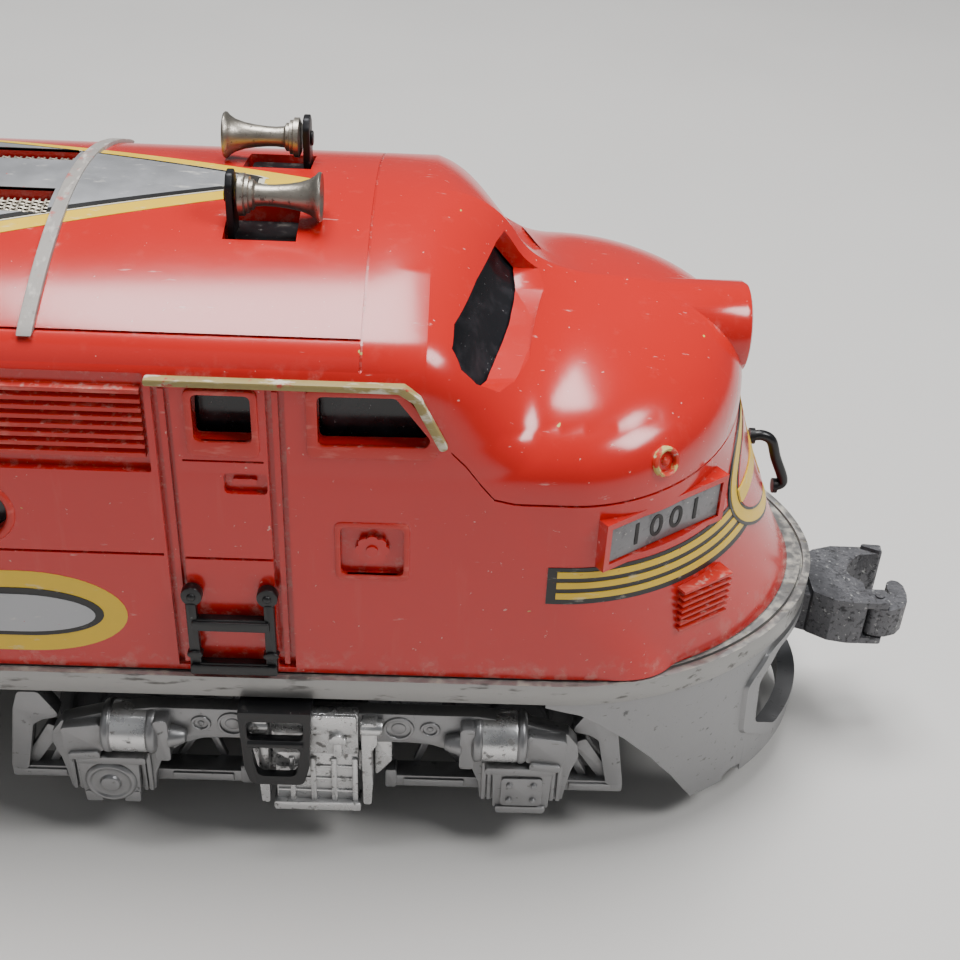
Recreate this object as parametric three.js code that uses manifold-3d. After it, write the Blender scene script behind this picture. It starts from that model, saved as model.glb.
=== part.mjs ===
// Three-rail electric toy locomotive: a streamlined diesel cab unit in O gauge.
// Units are millimetres. +X is forward, +Y is the locomotive's left, +Z is up.
// The origin is the middle of the footprint on the ground, with the wheel flanges standing on Z = 0.

import * as THREE from 'three';
import { mergeVertices } from 'three/addons/utils/BufferGeometryUtils.js';
import Module from 'manifold-3d';

const wasm = await Module();
wasm.setup();

// ---------------------------------------------------------------- driving dimensions

const GAP = 0.3; // clearance left between separate pieces
const WHEELBASE = 57.15;
const FRONT_TRUCK_X = 80;
const REAR_TRUCK_X = -95;
const AXLE_Z = 11.6;
const HALF_WIDTH = 32; // body side, from the centre line
const BODY_REAR_X = -151;
const NOSE_JOIN_X = 94; // the plain body section ends here and the nose begins
const SHELL_BOTTOM_Z = 32;
const SHELL_WALL = 2;
const ROOF_TOP_Z = 87;
const ROOF_RADIUS = 68;
const FRAME = { bottom: 28.3, top: SHELL_BOTTOM_Z - GAP, halfWidth: 33.2, tipX: 152 };
const HOOD = { startX: 112, tipHighX: 136.9, tipLowX: 148.4, lineZ: 60.5, height: 15, crown: 0.106, blend: 8 };
const COUPLER = { tipX: 168, bottom: 18, top: 26, halfWidth: 7 };

// ---------------------------------------------------------------- materials

function finish(color, roughness, metalness) {
  return new THREE.MeshStandardMaterial({ color, roughness, metalness });
}

const FINISH = {
  redPlastic: finish(0xb5261c, 0.3, 0),
  silverPaint: finish(0x9a9b9c, 0.45, 0.6),
  blackPlastic: finish(0x151516, 0.4, 0),
  blackSteel: finish(0x242426, 0.5, 0.7),
  bareSteel: finish(0xa7a6a2, 0.35, 1),
  sintered: finish(0x4a4a4c, 0.5, 0.9),
  zinc: finish(0x6f7072, 0.55, 0.8),
  brass: finish(0xb08d4a, 0.35, 1),
  copper: finish(0x9c5a35, 0.4, 0.9),
  phenolic: finish(0x5a3524, 0.6, 0),
  clearPlastic: finish(0x2b2b2d, 0.15, 0),
  lens: finish(0xe8e2c8, 0.1, 0),
  plate: finish(0x77787a, 0.4, 0.3),
};

// ---------------------------------------------------------------- solids

function solid(geometry) {
  geometry.deleteAttribute('normal');
  geometry.deleteAttribute('uv');
  const merged = mergeVertices(geometry, 1e-4);
  return new wasm.Manifold(new wasm.Mesh({
    numProp: 3,
    vertProperties: new Float32Array(merged.attributes.position.array),
    triVerts: new Uint32Array(merged.index.array),
  }));
}

function surface(manifold) {
  const mesh = manifold.getMesh();
  const geometry = new THREE.BufferGeometry();
  geometry.setAttribute('position', new THREE.BufferAttribute(new Float32Array(mesh.vertProperties), 3));
  geometry.setIndex(new THREE.BufferAttribute(new Uint32Array(mesh.triVerts), 1));
  geometry.computeVertexNormals();
  return geometry;
}

const join = (...solids) => solids.reduce((total, next) => total.add(next));
const cut = (body, ...tools) => tools.reduce((rest, tool) => rest.subtract(tool), body);
const moved = (body, x, y, z) => body.translate([x, y, z]);
const mirrored = (body) => body.scale([1, -1, 1]);

function box(low, high) {
  const size = high.map((value, i) => value - low[i]);
  const middle = high.map((value, i) => (value + low[i]) / 2);
  const geometry = new THREE.BoxGeometry(...size);
  geometry.translate(...middle);
  return solid(geometry);
}

// A cylinder, or a cone when its radii differ, from one point to another along one axis.
function rod(from, to, radius, sides = 16, endRadius = radius) {
  const start = new THREE.Vector3(...from);
  const along = new THREE.Vector3(...to).sub(start);
  const geometry = new THREE.CylinderGeometry(endRadius, radius, along.length(), sides);
  geometry.translate(0, along.length() / 2, 0);
  const turn = new THREE.Quaternion().setFromUnitVectors(new THREE.Vector3(0, 1, 0), along.clone().normalize());
  geometry.applyQuaternion(turn);
  geometry.translate(...from);
  return solid(geometry);
}

// A flat outline pushed along one axis. Its points are [x, z] for 'y', [x, y] for 'z' and [y, z] for 'x'.
const PUSH = {
  x: { basis: [[0, 1, 0], [0, 0, 1], [1, 0, 0]], flip: false },
  y: { basis: [[1, 0, 0], [0, 0, 1], [0, -1, 0]], flip: true },
  z: { basis: [[1, 0, 0], [0, 1, 0], [0, 0, 1]], flip: false },
};

function prism(axis, points, from, to) {
  const shape = new THREE.Shape(points.map(([u, v]) => new THREE.Vector2(u, v)));
  const geometry = new THREE.ExtrudeGeometry(shape, { depth: to - from, bevelEnabled: false });
  geometry.translate(0, 0, PUSH[axis].flip ? -to : from);
  const basis = PUSH[axis].basis.map((column) => new THREE.Vector3(...column));
  geometry.applyMatrix4(new THREE.Matrix4().makeBasis(...basis));
  return solid(geometry);
}

// A turned shape about a vertical axis, from [radius, z] points that start and end on the axis.
function turned(points, sides = 20) {
  const geometry = new THREE.LatheGeometry(points.map(([r, z]) => new THREE.Vector2(r, z)), sides);
  geometry.rotateX(Math.PI / 2);
  return solid(geometry);
}

// ---------------------------------------------------------------- body form

const smoothMax = (a, b, blend) => Math.max(a, b) + (Math.max(blend - Math.abs(a - b), 0) ** 2) / (4 * blend);
const smoothMin = (a, b, blend) => -smoothMax(-a, -b, blend);
const ramp = (value, low, high) => Math.min(Math.max((value - low) / (high - low), 0), 1);

// Each form function is negative inside and close to a distance in millimetres near the surface.
function sectionForm(y, z) {
  const roof = Math.hypot(y, z - (ROOF_TOP_Z - ROOF_RADIUS)) - ROOF_RADIUS;
  return smoothMax(Math.abs(y) - HALF_WIDTH, roof, 4);
}

function windshieldForm(x, y, z) {
  const face = FRONT_TRUCK_X + 27 - 0.65 * (z - 78) - 0.3 * Math.abs(y);
  return 0.8 * (x - face);
}

function noseTipX(z) {
  const drop = ramp(z, HOOD.lineZ, SHELL_BOTTOM_Z);
  return HOOD.tipHighX + (HOOD.tipLowX - HOOD.tipHighX) * drop ** 1.35;
}

function hoodForm(x, y, z) {
  const reach = noseTipX(z) - HOOD.startX;
  const along = Math.max(x - HOOD.startX, 0) / reach;
  const plan = (along ** 1.9 + (Math.abs(y) / HALF_WIDTH) ** 1.9) ** (1 / 1.9);
  const lift = z - HOOD.lineZ;
  const rise = Math.max(lift + HOOD.crown * Math.abs(y) * ramp(lift, 0, 8), 0) / HOOD.height;
  return 26 * ((plan ** 3 + rise ** 3) ** (1 / 3) - 1);
}

function bodyForm(x, y, z) {
  const cab = smoothMax(sectionForm(y, z), windshieldForm(x, y, z), 6);
  return smoothMin(cab, hoodForm(x, y, z), 0.5 + HOOD.blend * ramp(z, 64, 76));
}

// The skin is found along rays from a vertical line at the nose joint: level rays low down, and a fan above.
const FAN_Z = 45;

function skinPoint(heading, row, inset) {
  const z = Math.min(row.z, FAN_Z);
  const level = Math.cos(row.lift);
  const ray = [Math.cos(heading) * level, Math.sin(heading) * level, Math.sin(row.lift)];
  let inside = 0;
  let outside = 90;
  for (let step = 0; step < 40; step += 1) {
    const reach = (inside + outside) / 2;
    const form = bodyForm(NOSE_JOIN_X + reach * ray[0], reach * ray[1], z + reach * ray[2]) + inset;
    if (form < 0) inside = reach;
    else outside = reach;
  }
  return [NOSE_JOIN_X + inside * ray[0], inside * ray[1], z + inside * ray[2]];
}

// The body is one skin: plain section rings behind the nose joint and ray-found rings in front of it.
function bodySolid(inset, rearX, bottomZ) {
  const rows = [{ z: bottomZ, lift: 0 }, { z: FAN_Z, lift: 0 }];
  for (const lift of [9, 17, 24, 31, 37, 42, 46, 50, 54, 59, 65, 72, 80]) {
    rows.push({ z: FAN_Z, lift: THREE.MathUtils.degToRad(lift) });
  }
  const headings = 26;
  const columns = [];
  for (let i = 0; i <= headings; i += 1) {
    const heading = -Math.PI / 2 + (Math.PI * i) / headings;
    columns.push(rows.map((row) => skinPoint(heading, row, inset)));
  }
  const crown = skinPoint(0, { z: FAN_Z, lift: Math.PI / 2 }, inset);
  const rear = (point) => [rearX, point[1], point[2]];
  columns.unshift(columns[0].map(rear));
  columns.push(columns.at(-1).map(rear));
  const positions = [...columns.flat(), crown, rear(crown)].flat();
  const size = rows.length;
  const top = columns.length * size;
  const rearTop = top + 1;
  const faces = [];
  for (let c = 0; c + 1 < columns.length; c += 1) {
    for (let r = 0; r + 1 < size; r += 1) {
      const corner = c * size + r;
      faces.push(corner, corner + size, corner + size + 1, corner, corner + size + 1, corner + 1);
    }
    if (c > 0 && c + 2 < columns.length) faces.push((c + 1) * size - 1, (c + 2) * size - 1, top);
  }
  const right = size - 1;
  const left = (columns.length - 1) * size + size - 1;
  faces.push(right, 2 * size - 1, top, right, top, rearTop);
  faces.push(left - size, left, rearTop, left - size, rearTop, top);
  for (let r = 0; r + 1 < size; r += 1) {
    const low = (columns.length - 1) * size + r;
    faces.push(r, r + 1, low + 1, r, low + 1, low);
  }
  faces.push(right, rearTop, left);
  for (let c = 1; c + 1 < columns.length; c += 1) faces.push(0, (c + 1) * size, c * size);
  const geometry = new THREE.BufferGeometry();
  geometry.setAttribute('position', new THREE.Float32BufferAttribute(positions, 3));
  geometry.setIndex(faces);
  return solid(geometry);
}

// ---------------------------------------------------------------- body openings

const CAB = FRONT_TRUCK_X;
const BODY_SCREW_X = { front: 139, rear: -145 };
const SIDE_WINDOWS = {
  door: [[-13, 68.2], [-6.2, 68.2], [-6.2, 74.4], [-13, 74.4]],
  cab: [[1.5, 68.2], [14.2, 68.2], [14.8, 69.4], [10.8, 74.8], [1.5, 74.8]],
};
const PORTHOLE = { xs: [39.5, -111], z: 56.9, radius: 4 };
const WINDSHIELD = [[2.4, 77.4], [6.2, 76.1], [12.9, 74.6], [23.5, 72.6], [26.4, 72.8], [28.4, 75], [28.6, 77],
  [27.2, 79], [23.9, 80.4], [15, 81.8], [5.8, 82.6], [2.4, 82.6]];
const SCREEN = { rearX: 22, frontX: 46.6, innerY: 4.5, outerY: 10 };
const HORN = { rearX: 68.6, frontX: 77.5, innerY: 5.5, outerY: 13.5, floorZ: 83.2 };
const TAB = 0.9; // thickness of a horn's upright tab
const HEADLIGHT = { z: 68.5, radius: 6.3, frontX: 136.8 };

const onCab = (points) => points.map(([x, z]) => [x + CAB, z]);

// The windshield opening, trimmed so that it stays on the windshield's own sloping face.
function windshieldCut() {
  const slope = new THREE.Vector3(1, 0.3, 0.65);
  const reach = CAB + 27 + slope.z * 78 + 2.2;
  return prism('x', WINDSHIELD, CAB + 5, CAB + 40)
    .trimByPlane([-slope.x, -slope.y, -slope.z], -reach / slope.length());
}

function sideCuts() {
  const outer = HALF_WIDTH + 3;
  const inner = HALF_WIDTH - 8;
  const cuts = Object.values(SIDE_WINDOWS).map((points) => prism('y', onCab(points), inner, outer));
  for (const x of PORTHOLE.xs) {
    cuts.push(rod([x, inner, PORTHOLE.z], [x, outer, PORTHOLE.z], PORTHOLE.radius, 14));
  }
  cuts.push(windshieldCut());
  cuts.push(box([SCREEN.rearX, SCREEN.innerY, 80], [SCREEN.frontX, SCREEN.outerY, 90]));
  cuts.push(box([HORN.rearX, HORN.innerY, HORN.floorZ], [HORN.frontX, HORN.outerY, 90]));
  return cuts;
}

function bodyShell() {
  const outer = bodySolid(0, BODY_REAR_X, SHELL_BOTTOM_Z);
  const inner = bodySolid(SHELL_WALL, BODY_REAR_X + SHELL_WALL, SHELL_BOTTOM_Z - 1);
  const housing = rod([CAB + 44, 0, HEADLIGHT.z], [HEADLIGHT.frontX, 0, HEADLIGHT.z], HEADLIGHT.radius, 24);
  const pocket = box([HORN.rearX - 1.5, HORN.innerY - 1.5, HORN.floorZ - 1.5],
    [HORN.frontX + 1.5, HORN.outerY + 1.5, 85]);
  const strap = bodySolid(-0.5, BODY_REAR_X, SHELL_BOTTOM_Z)
    .intersect(box([47.6, -40, 78], [49.4, 40, 95]));
  const rail = prism('y', onCab([[-17.8, 75.6], [11.6, 75.6], [16.4, 67.8], [17.3, 68.3], [12.2, 76.6], [-17.8, 76.6]]),
    HALF_WIDTH - 1, HALF_WIDTH + 0.7);
  const screwXs = Object.values(BODY_SCREW_X);
  const bosses = screwXs.map((x) => rod([x, 0, SHELL_BOTTOM_Z], [x, 0, 42], 3, 10));
  const bridge = box([134, -1, 38], [149, 1, 42]).intersect(bodySolid(1, BODY_REAR_X, SHELL_BOTTOM_Z));
  const rearBridge = box([-150, -1, 38], [-145, 1, 42]);
  const pad = boardSlab(-2.5, NUMBER_BOARD.stand + 1.3, NUMBER_BOARD.rim);
  let shell = cut(join(outer, housing, pad, mirrored(pad)), inner);
  shell = join(shell, strap, rail, mirrored(rail), pocket, mirrored(pocket), ...bosses, bridge, rearBridge);
  const bore = rod([CAB + 30, 0, HEADLIGHT.z], [HEADLIGHT.frontX + 1, 0, HEADLIGHT.z], HEADLIGHT.radius - 1.2, 24);
  const sides = sideCuts();
  const screwHoles = screwXs.map((x) => rod([x, 0, 30], [x, 0, 39], 1.8, 12));
  const board = boardSlab(NUMBER_BOARD.stand, NUMBER_BOARD.stand + 4, GAP);
  return cut(shell, ...sides, ...sides.map(mirrored), board, mirrored(board), bore, ...screwHoles);
}

// ---------------------------------------------------------------- glazing and trim

function sideGlazing() {
  const y = HALF_WIDTH - SHELL_WALL - 4 * GAP;
  const outline = [[-15, 66.8], [15.2, 66.8], [15.2, 69.8], [11.6, 75.1], [-15, 75.1]];
  return prism('y', onCab(outline), y - 1, y);
}

// One clear strip a side backs every porthole.
function portholeGlazing() {
  const y = HALF_WIDTH - SHELL_WALL - GAP;
  const [front, rear] = PORTHOLE.xs;
  const reach = PORTHOLE.radius + 1;
  return box([rear - reach, y - 1, PORTHOLE.z - reach], [front + reach, y, PORTHOLE.z + reach]);
}

function windshieldPane() {
  const outer = bodySolid(SHELL_WALL + GAP, 60, 60);
  const inner = bodySolid(SHELL_WALL + GAP + 1, 60, 60);
  return cut(outer, inner).intersect(box([CAB + 8, 1.2, 71], [CAB + 40, 27.5, 84.2]))
    .intersect(prism('y', [[CAB + 14, 84.5], [CAB + 12, 71.5], [CAB + 26, 71.5], [CAB + 28, 79], [CAB + 24, 84.5]], 0, 40));
}

const NUMBER_BOARD = {
  rear: [36.2, 30.7], front: [51.2, 19.8], bottom: 52, top: 57.2, stand: 0.7, thickness: 0.8, rim: 1,
};

// An upright slab along the number board's line, between two distances out from that line.
function boardSlab(inside, outside, margin) {
  const { rear, front, bottom, top } = NUMBER_BOARD;
  const along = new THREE.Vector2(front[0] - rear[0], front[1] - rear[1]).normalize();
  const out = new THREE.Vector2(-along.y, along.x);
  const corner = ([x, y], ahead, away) => [
    CAB + x + along.x * ahead + out.x * away,
    y + along.y * ahead + out.y * away,
  ];
  const outline = [corner(rear, -margin, inside), corner(front, margin, inside),
    corner(front, margin, outside), corner(rear, -margin, outside)];
  return prism('z', outline, bottom - margin, top + margin);
}

function numberBoard() {
  const { stand, thickness } = NUMBER_BOARD;
  return boardSlab(stand + GAP, stand + GAP + thickness, 0);
}

// facing is +1 where the bell points forward and -1 where it points back.
function hornBracket(facing) {
  const { rearX, frontX, innerY, outerY, floorZ } = HORN;
  const plate = box([rearX + GAP, innerY + GAP, floorZ + GAP], [frontX - GAP, outerY - GAP, floorZ + 1.1]);
  const x = facing > 0 ? rearX + GAP : frontX - GAP - TAB;
  const y = (innerY + outerY) / 2;
  return join(plate, box([x, y - 2, floorZ + 0.5], [x + TAB, y + 2, 92.4]));
}

function horn(facing) {
  const profile = [[0, 0], [2.6, 0], [2.6, 1.9], [1.3, 2.3], [1.4, 6], [2, 8.4], [2.9, 9.8], [2.9, 10.3], [0, 10.3]];
  const body = turned(profile, 16).rotate([0, 90, 0]).scale([facing, 1, 1]);
  const x = facing > 0 ? HORN.rearX + TAB + 2 * GAP : HORN.frontX - TAB - 2 * GAP;
  return moved(body, x, (HORN.innerY + HORN.outerY) / 2, 89.4);
}

function roofScreen() {
  const { rearX, frontX, innerY, outerY } = SCREEN;
  const slab = bodySolid(0.9, BODY_REAR_X, 60).intersect(
    box([rearX + GAP, innerY + GAP, 80], [frontX - GAP, outerY - GAP, 90]));
  return cut(slab, bodySolid(1.9, BODY_REAR_X - 5, 50));
}

function grabRail() {
  const path = new THREE.CatmullRomCurve3([
    new THREE.Vector3(CAB + 61.6, 5, 47.8), new THREE.Vector3(CAB + 64.4, 5, 47.4),
    new THREE.Vector3(CAB + 65.2, 5, 45.6), new THREE.Vector3(CAB + 67.8, 5, 40.4),
    new THREE.Vector3(CAB + 67.6, 5, 39.0), new THREE.Vector3(CAB + 66.6, 5, 38.6)], false, 'catmullrom', 0.2);
  const ring = new THREE.Shape().absarc(0, 0, 0.75, 0, Math.PI * 2);
  return solid(new THREE.ExtrudeGeometry(ring, { steps: 14, curveSegments: 3, extrudePath: path }))
    .subtract(bodySolid(-GAP, 100, 33));
}

const DOOR_STEP = { left: -15.2, right: -5, top: 46.9, bottom: 33, rail: 1.5 };

function doorStep() {
  const { left, right, top, bottom, rail } = DOOR_STEP;
  const y = HALF_WIDTH + GAP;
  const bars = [
    box([CAB + left, y + 0.4, bottom], [CAB + left + rail, y + 1.7, 45.2]),
    box([CAB + right - rail, y + 0.4, bottom], [CAB + right, y + 1.7, 45.2]),
    box([CAB + left, y + 0.4, bottom], [CAB + right, y + 2.2, bottom + 1.5]),
    box([CAB + left, y + 0.4, 40.4], [CAB + right, y + 2.2, 41.9]),
  ];
  for (const x of [left + rail / 2, right - rail / 2]) {
    bars.push(rod([CAB + x, y, 45.6], [CAB + x, y + 1.7, 45.6], 1.3, 12));
  }
  return join(...bars);
}

function headlightLens() {
  const x = HEADLIGHT.frontX - 1.6;
  const r = HEADLIGHT.radius - 1.2 - GAP;
  return rod([x - 1.6, 0, HEADLIGHT.z], [x, 0, HEADLIGHT.z], r, 20, r * 0.94);
}

function lampBracket() {
  const post = box([117, -4, FRAME.top + GAP], [118.2, 4, 66]);
  const foot = box([112, -4, FRAME.top + GAP], [118.2, 4, FRAME.top + 1.5]);
  const socket = rod([116, 0, HEADLIGHT.z], [121, 0, HEADLIGHT.z], 4.2, 14);
  return join(post, foot, socket);
}

function lampBulb() {
  const profile = [[0, 0], [2.8, 0], [2.8, 2], [3.6, 4], [3.6, 6], [2, 8], [0, 8.4]];
  return moved(turned(profile, 12).rotate([0, 90, 0]), 121 + GAP, 0, HEADLIGHT.z);
}

// ---------------------------------------------------------------- chassis

// Half of the nose outline in plan, as [x, y] points from the side to the tip, for y above zero.
function nosePlan(startX, tipX, halfWidth, steps) {
  const points = [];
  for (let i = 0; i <= steps; i += 1) {
    const angle = (Math.PI / 2) * (1 - i / steps);
    const along = Math.cos(angle) ** (2 / 1.9);
    const across = Math.sin(angle) ** (2 / 1.9);
    points.push([startX + (tipX - startX) * along, halfWidth * across]);
  }
  return points;
}

function noseOutline(rearX, tipX, halfWidth, steps = 12) {
  const half = nosePlan(HOOD.startX, tipX, halfWidth, steps);
  const other = half.slice(0, -1).reverse().map(([x, y]) => [x, -y]);
  return [[rearX, halfWidth], ...half, ...other, [rearX, -halfWidth]].reverse();
}

const MOTOR_OPENING = { rearX: 42, frontX: 75, halfWidth: 19.5 };

function chassisFrame() {
  const plate = prism('z', noseOutline(BODY_REAR_X - 1.5, FRAME.tipX, FRAME.halfWidth), FRAME.bottom, FRAME.top);
  const { rearX, frontX, halfWidth } = MOTOR_OPENING;
  const hole = (x, radius) => rod([x, 0, 20], [x, 0, 40], radius, 16);
  return cut(plate,
    box([rearX, -halfWidth, 20], [frontX, halfWidth, 40]),
    box([23, -2.6, 20], [36, 2.6, 40]),
    hole(FRONT_TRUCK_X, 2.9), hole(REAR_TRUCK_X, 2.8), hole(BODY_SCREW_X.front, 1.9), hole(BODY_SCREW_X.rear, 1.9));
}

const PILOT = { top: FRAME.bottom - GAP, bottom: 5, halfWidth: 32.8, wall: 2.2, web: 2 };

function pilotBlock(inset, rearX, bottomZ, topZ) {
  const steps = 8;
  const ring = (z) => {
    const tip = CAB + 71.4 + 0.08 * (PILOT.top - z) - inset;
    const outline = noseOutline(rearX, tip, PILOT.halfWidth - inset, steps);
    return outline.map(([x, y]) => [x, y, z]);
  };
  const lower = ring(bottomZ);
  const upper = ring(topZ);
  const count = lower.length;
  const faces = [];
  for (let i = 0; i < count; i += 1) {
    const next = (i + 1) % count;
    faces.push(i, next, count + next, i, count + next, count + i);
  }
  const cap = THREE.ShapeUtils.triangulateShape(lower.map(([x, y]) => new THREE.Vector2(x, y)), []);
  for (const [a, b, c] of cap) faces.push(c, b, a, a + count, b + count, c + count);
  const geometry = new THREE.BufferGeometry();
  geometry.setAttribute('position', new THREE.Float32BufferAttribute([...lower, ...upper].flat(), 3));
  geometry.setIndex(faces);
  return solid(geometry);
}

function frontPilot() {
  const outer = pilotBlock(0, CAB + 31, PILOT.bottom, PILOT.top);
  const inner = pilotBlock(PILOT.wall, CAB + 29, PILOT.bottom - 1, PILOT.top - PILOT.web);
  const opening = [[-20.6, 14], [-16, 9.5], [16, 9.5], [20.6, 14], [20.6, 22], [17, 25.6], [-17, 25.6], [-20.6, 22]];
  const sideArch = onCab([[20, 2], [54.4, 2], [54.2, 4.8], [52.6, 7.2], [50.2, 11.1], [46.6, 16], [42.5, 20.6],
    [38.7, 24], [35.8, 26], [31, 27.4], [20, 27.4]]);
  const screw = rod([BODY_SCREW_X.front, 0, 20], [BODY_SCREW_X.front, 0, 40], 1.9, 16);
  return cut(outer, inner, prism('x', opening, CAB + 50, CAB + 90), prism('y', sideArch, -40, 40),
    box([CAB + 20, -24, 20], [CAB + 52, 24, 40]), screw);
}

function bodyScrew(x, headTopZ) {
  const head = rod([x, 0, headTopZ - 2], [x, 0, headTopZ], 2.8, 14);
  return join(head, rod([x, 0, headTopZ - 0.5], [x, 0, 38], 1.5, 12));
}

function fuelTank() {
  const outline = [[-27, 13], [-24, 8.5], [24, 8.5], [27, 13], [27, FRAME.bottom - GAP], [-27, FRAME.bottom - GAP]];
  return prism('x', outline, -40, 20);
}

const REVERSER = { rearX: -14, frontX: 12, halfWidth: 10, topZ: 50, pivotX: 29, pivotZ: 37 };

function reversingUnit() {
  const { rearX, frontX, halfWidth, topZ, pivotX, pivotZ } = REVERSER;
  const floor = FRAME.top + GAP;
  const base = box([rearX, -halfWidth, floor], [frontX, halfWidth, floor + 1.5]);
  const coil = rod([-1, 0, floor + 1], [-1, 0, topZ - 2], 8, 18);
  const cap = box([-10, -8, topZ - 3], [8, 8, topZ]);
  const arms = join(
    box([frontX - 1, 1.6, floor], [pivotX + 3, 2.8, pivotZ + 3]),
    box([frontX - 1, -2.8, floor], [pivotX + 3, -1.6, pivotZ + 3]),
    rod([pivotX, -2, pivotZ], [pivotX, 2, pivotZ], 1, 10));
  return join(base, coil, cap, arms);
}

function reversingLever() {
  const { pivotX, pivotZ } = REVERSER;
  const strip = box([pivotX - 1.4, -0.9, 19], [pivotX + 1.4, 0.9, pivotZ]);
  const boss = rod([pivotX, -1.2, pivotZ], [pivotX, 1.2, pivotZ], 2.6, 16);
  const knob = rod([pivotX, -1.6, 19], [pivotX, 1.6, 19], 2.2, 14);
  return cut(join(strip, boss, knob), rod([pivotX, -3, pivotZ], [pivotX, 3, pivotZ], 1.3, 12));
}

// ---------------------------------------------------------------- trucks, drawn about their own centre

const HALF_BASE = WHEELBASE / 2;
const SIDE = { inner: 29.8, face: 32 };

function sideFrame() {
  const { inner, face } = SIDE;
  const plate = [[0, 19.3], [15, 19.3], [19, 18.4], [21.6, 15.6], [22.8, 12], [23, 8.8], [25.2, 8.8], [26, 7.4],
    [31.4, 7.4], [32.2, 8.8], [34.8, 8.8], [35.6, 13], [36, 17.4], [34.6, 21.6], [22, 24.6], [0, 24.6]];
  const hanger = [[33, 9.2], [43.2, 9.2], [43.2, 15], [33, 15], [33, 13.4], [41.2, 13.4], [41.2, 11.2], [33, 11.2]];
  const link = [[6.4, 8.6], [8, 8.6], [8.2, 19.4], [8.8, 21], [8.8, 24.5], [6.4, 24.5]];
  const half = join(
    prism('y', plate, inner, face),
    prism('y', hanger, inner - 2.8, inner + 0.2),
    box([9.6, inner - 2.8, 9.2], [23.4, inner + 0.2, 11.2]),
    prism('y', link, face - 0.1, face + 1.9),
    rod([21.5, face - 1, 20.6], [29.4, face - 1, 20.6], 3.6, 12),
    box([19.9, face - 0.1, 16.8], [21.6, face + 2, 23.8]),
    box([29.2, face - 0.1, 16.6], [34, face + 1.7, 21.6]),
    box([HALF_BASE - 4, face - 0.1, 8.2], [HALF_BASE + 4, face + 1.4, 15.6]),
    rod([HALF_BASE, face + 1, AXLE_Z], [HALF_BASE, face + 2.2, AXLE_Z], 2.7, 12),
    rod([12.3, face - 0.1, 22], [12.3, face + 0.5, 22], 1.9, 8),
    box([0, face - 0.1, 18], [6, face + 1.4, 25.6]),
    box([0, face - 0.6, 8.4], [5.8, face + 1.6, 18.2]),
    box([0, face - 0.6, 7.6], [6.2, face + 2.1, 9]),
    box([0, inner - 0.8, 13.4], [6.5, face, 17.4]));
  return join(half, half.scale([-1, 1, 1]));
}

function stirrupStep() {
  const y = SIDE.face + 2.4;
  const outline = [[-8.8, 12], [-1.4, 12], [-0.4, 14], [-0.2, 27.6], [-9.9, 27.6], [-9.7, 14]];
  const upper = [[-8.4, 21.8], [-2, 21.8], [-1.8, 25.6], [-8.4, 25.6]];
  const lower = [[-7.8, 14.2], [-2.6, 14.2], [-2.1, 19.4], [-8.2, 19.4]];
  const panel = cut(prism('y', outline, y, y + 1.2), prism('y', upper, y - 1, y + 3), prism('y', lower, y - 1, y + 3));
  return join(panel, box([-9.9, SIDE.inner, 26.4], [-0.2, y + 1.2, 27.6]));
}

const SEAT = { halfLength: 6.5, bottom: 13.4, top: 17.4, outerY: SIDE.inner - 0.8 - GAP };
const DRIVE_AXLE_X = -HALF_BASE;
const GEAR = { radius: 6.2, root: 5.3, teeth: 18, wormRadius: 2.6 };
const WORM_X = DRIVE_AXLE_X + GEAR.radius + GEAR.wormRadius + GAP;
const COUPLER_PIVOT_X = 20;
const AXLE_RADIUS = 2;
const PICKUP = { hingeX: 12, hingeZ: 5.5, rollerX: -5, rollerZ: 3.4, rollerRadius: 2.2 };

function axleHole(x) {
  return rod([x, -20, AXLE_Z], [x, 20, AXLE_Z], AXLE_RADIUS + GAP, 16);
}

function truckSeat() {
  const { halfLength, bottom, top, outerY } = SEAT;
  return box([-halfLength, -outerY, bottom], [halfLength, outerY, top]);
}

function couplerStud(side) {
  const x = side * COUPLER_PIVOT_X;
  return join(rod([x, 0, 16.5], [x, 0, 21.4], 1.8, 14), rod([x, 0, 20.7], [x, 0, 21.7], 2.9, 14));
}

function frontTruckFrame() {
  const profile = [[-36, 5], [36, 5], [36, 17], [14, 17], [14, 22], [-36, 22]];
  const gearbox = box([-35.2, -4, 4], [WORM_X + GEAR.wormRadius + 1, 4, 23]);
  const boss = join(rod([0, 0, 21], [0, 0, 27.9], 4, 16), rod([0, 0, 27], [0, 0, 34], 2.6, 16));
  const block = join(prism('y', profile, -13, 13), truckSeat(), boss);
  return join(cut(block, gearbox, axleHole(HALF_BASE), axleHole(-HALF_BASE)), couplerStud(1));
}

function rearTruckFrame() {
  const block = join(box([-35, -10, 7.4], [35, 10, 17]), truckSeat(), rod([0, 0, 16], [0, 0, 27.9], 6, 18));
  const hinge = join(box([10.5, -6.5, 4.4], [13.5, -5.3, 8]), box([10.5, 5.3, 4.4], [13.5, 6.5, 8]));
  const pin = rod([PICKUP.hingeX, -6, PICKUP.hingeZ], [PICKUP.hingeX, 6, PICKUP.hingeZ], 0.7, 10);
  const bore = rod([0, 0, 5], [0, 0, 30], 2.8, 16);
  return join(cut(block, bore, axleHole(HALF_BASE), axleHole(-HALF_BASE)), hinge, pin, couplerStud(-1));
}

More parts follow.
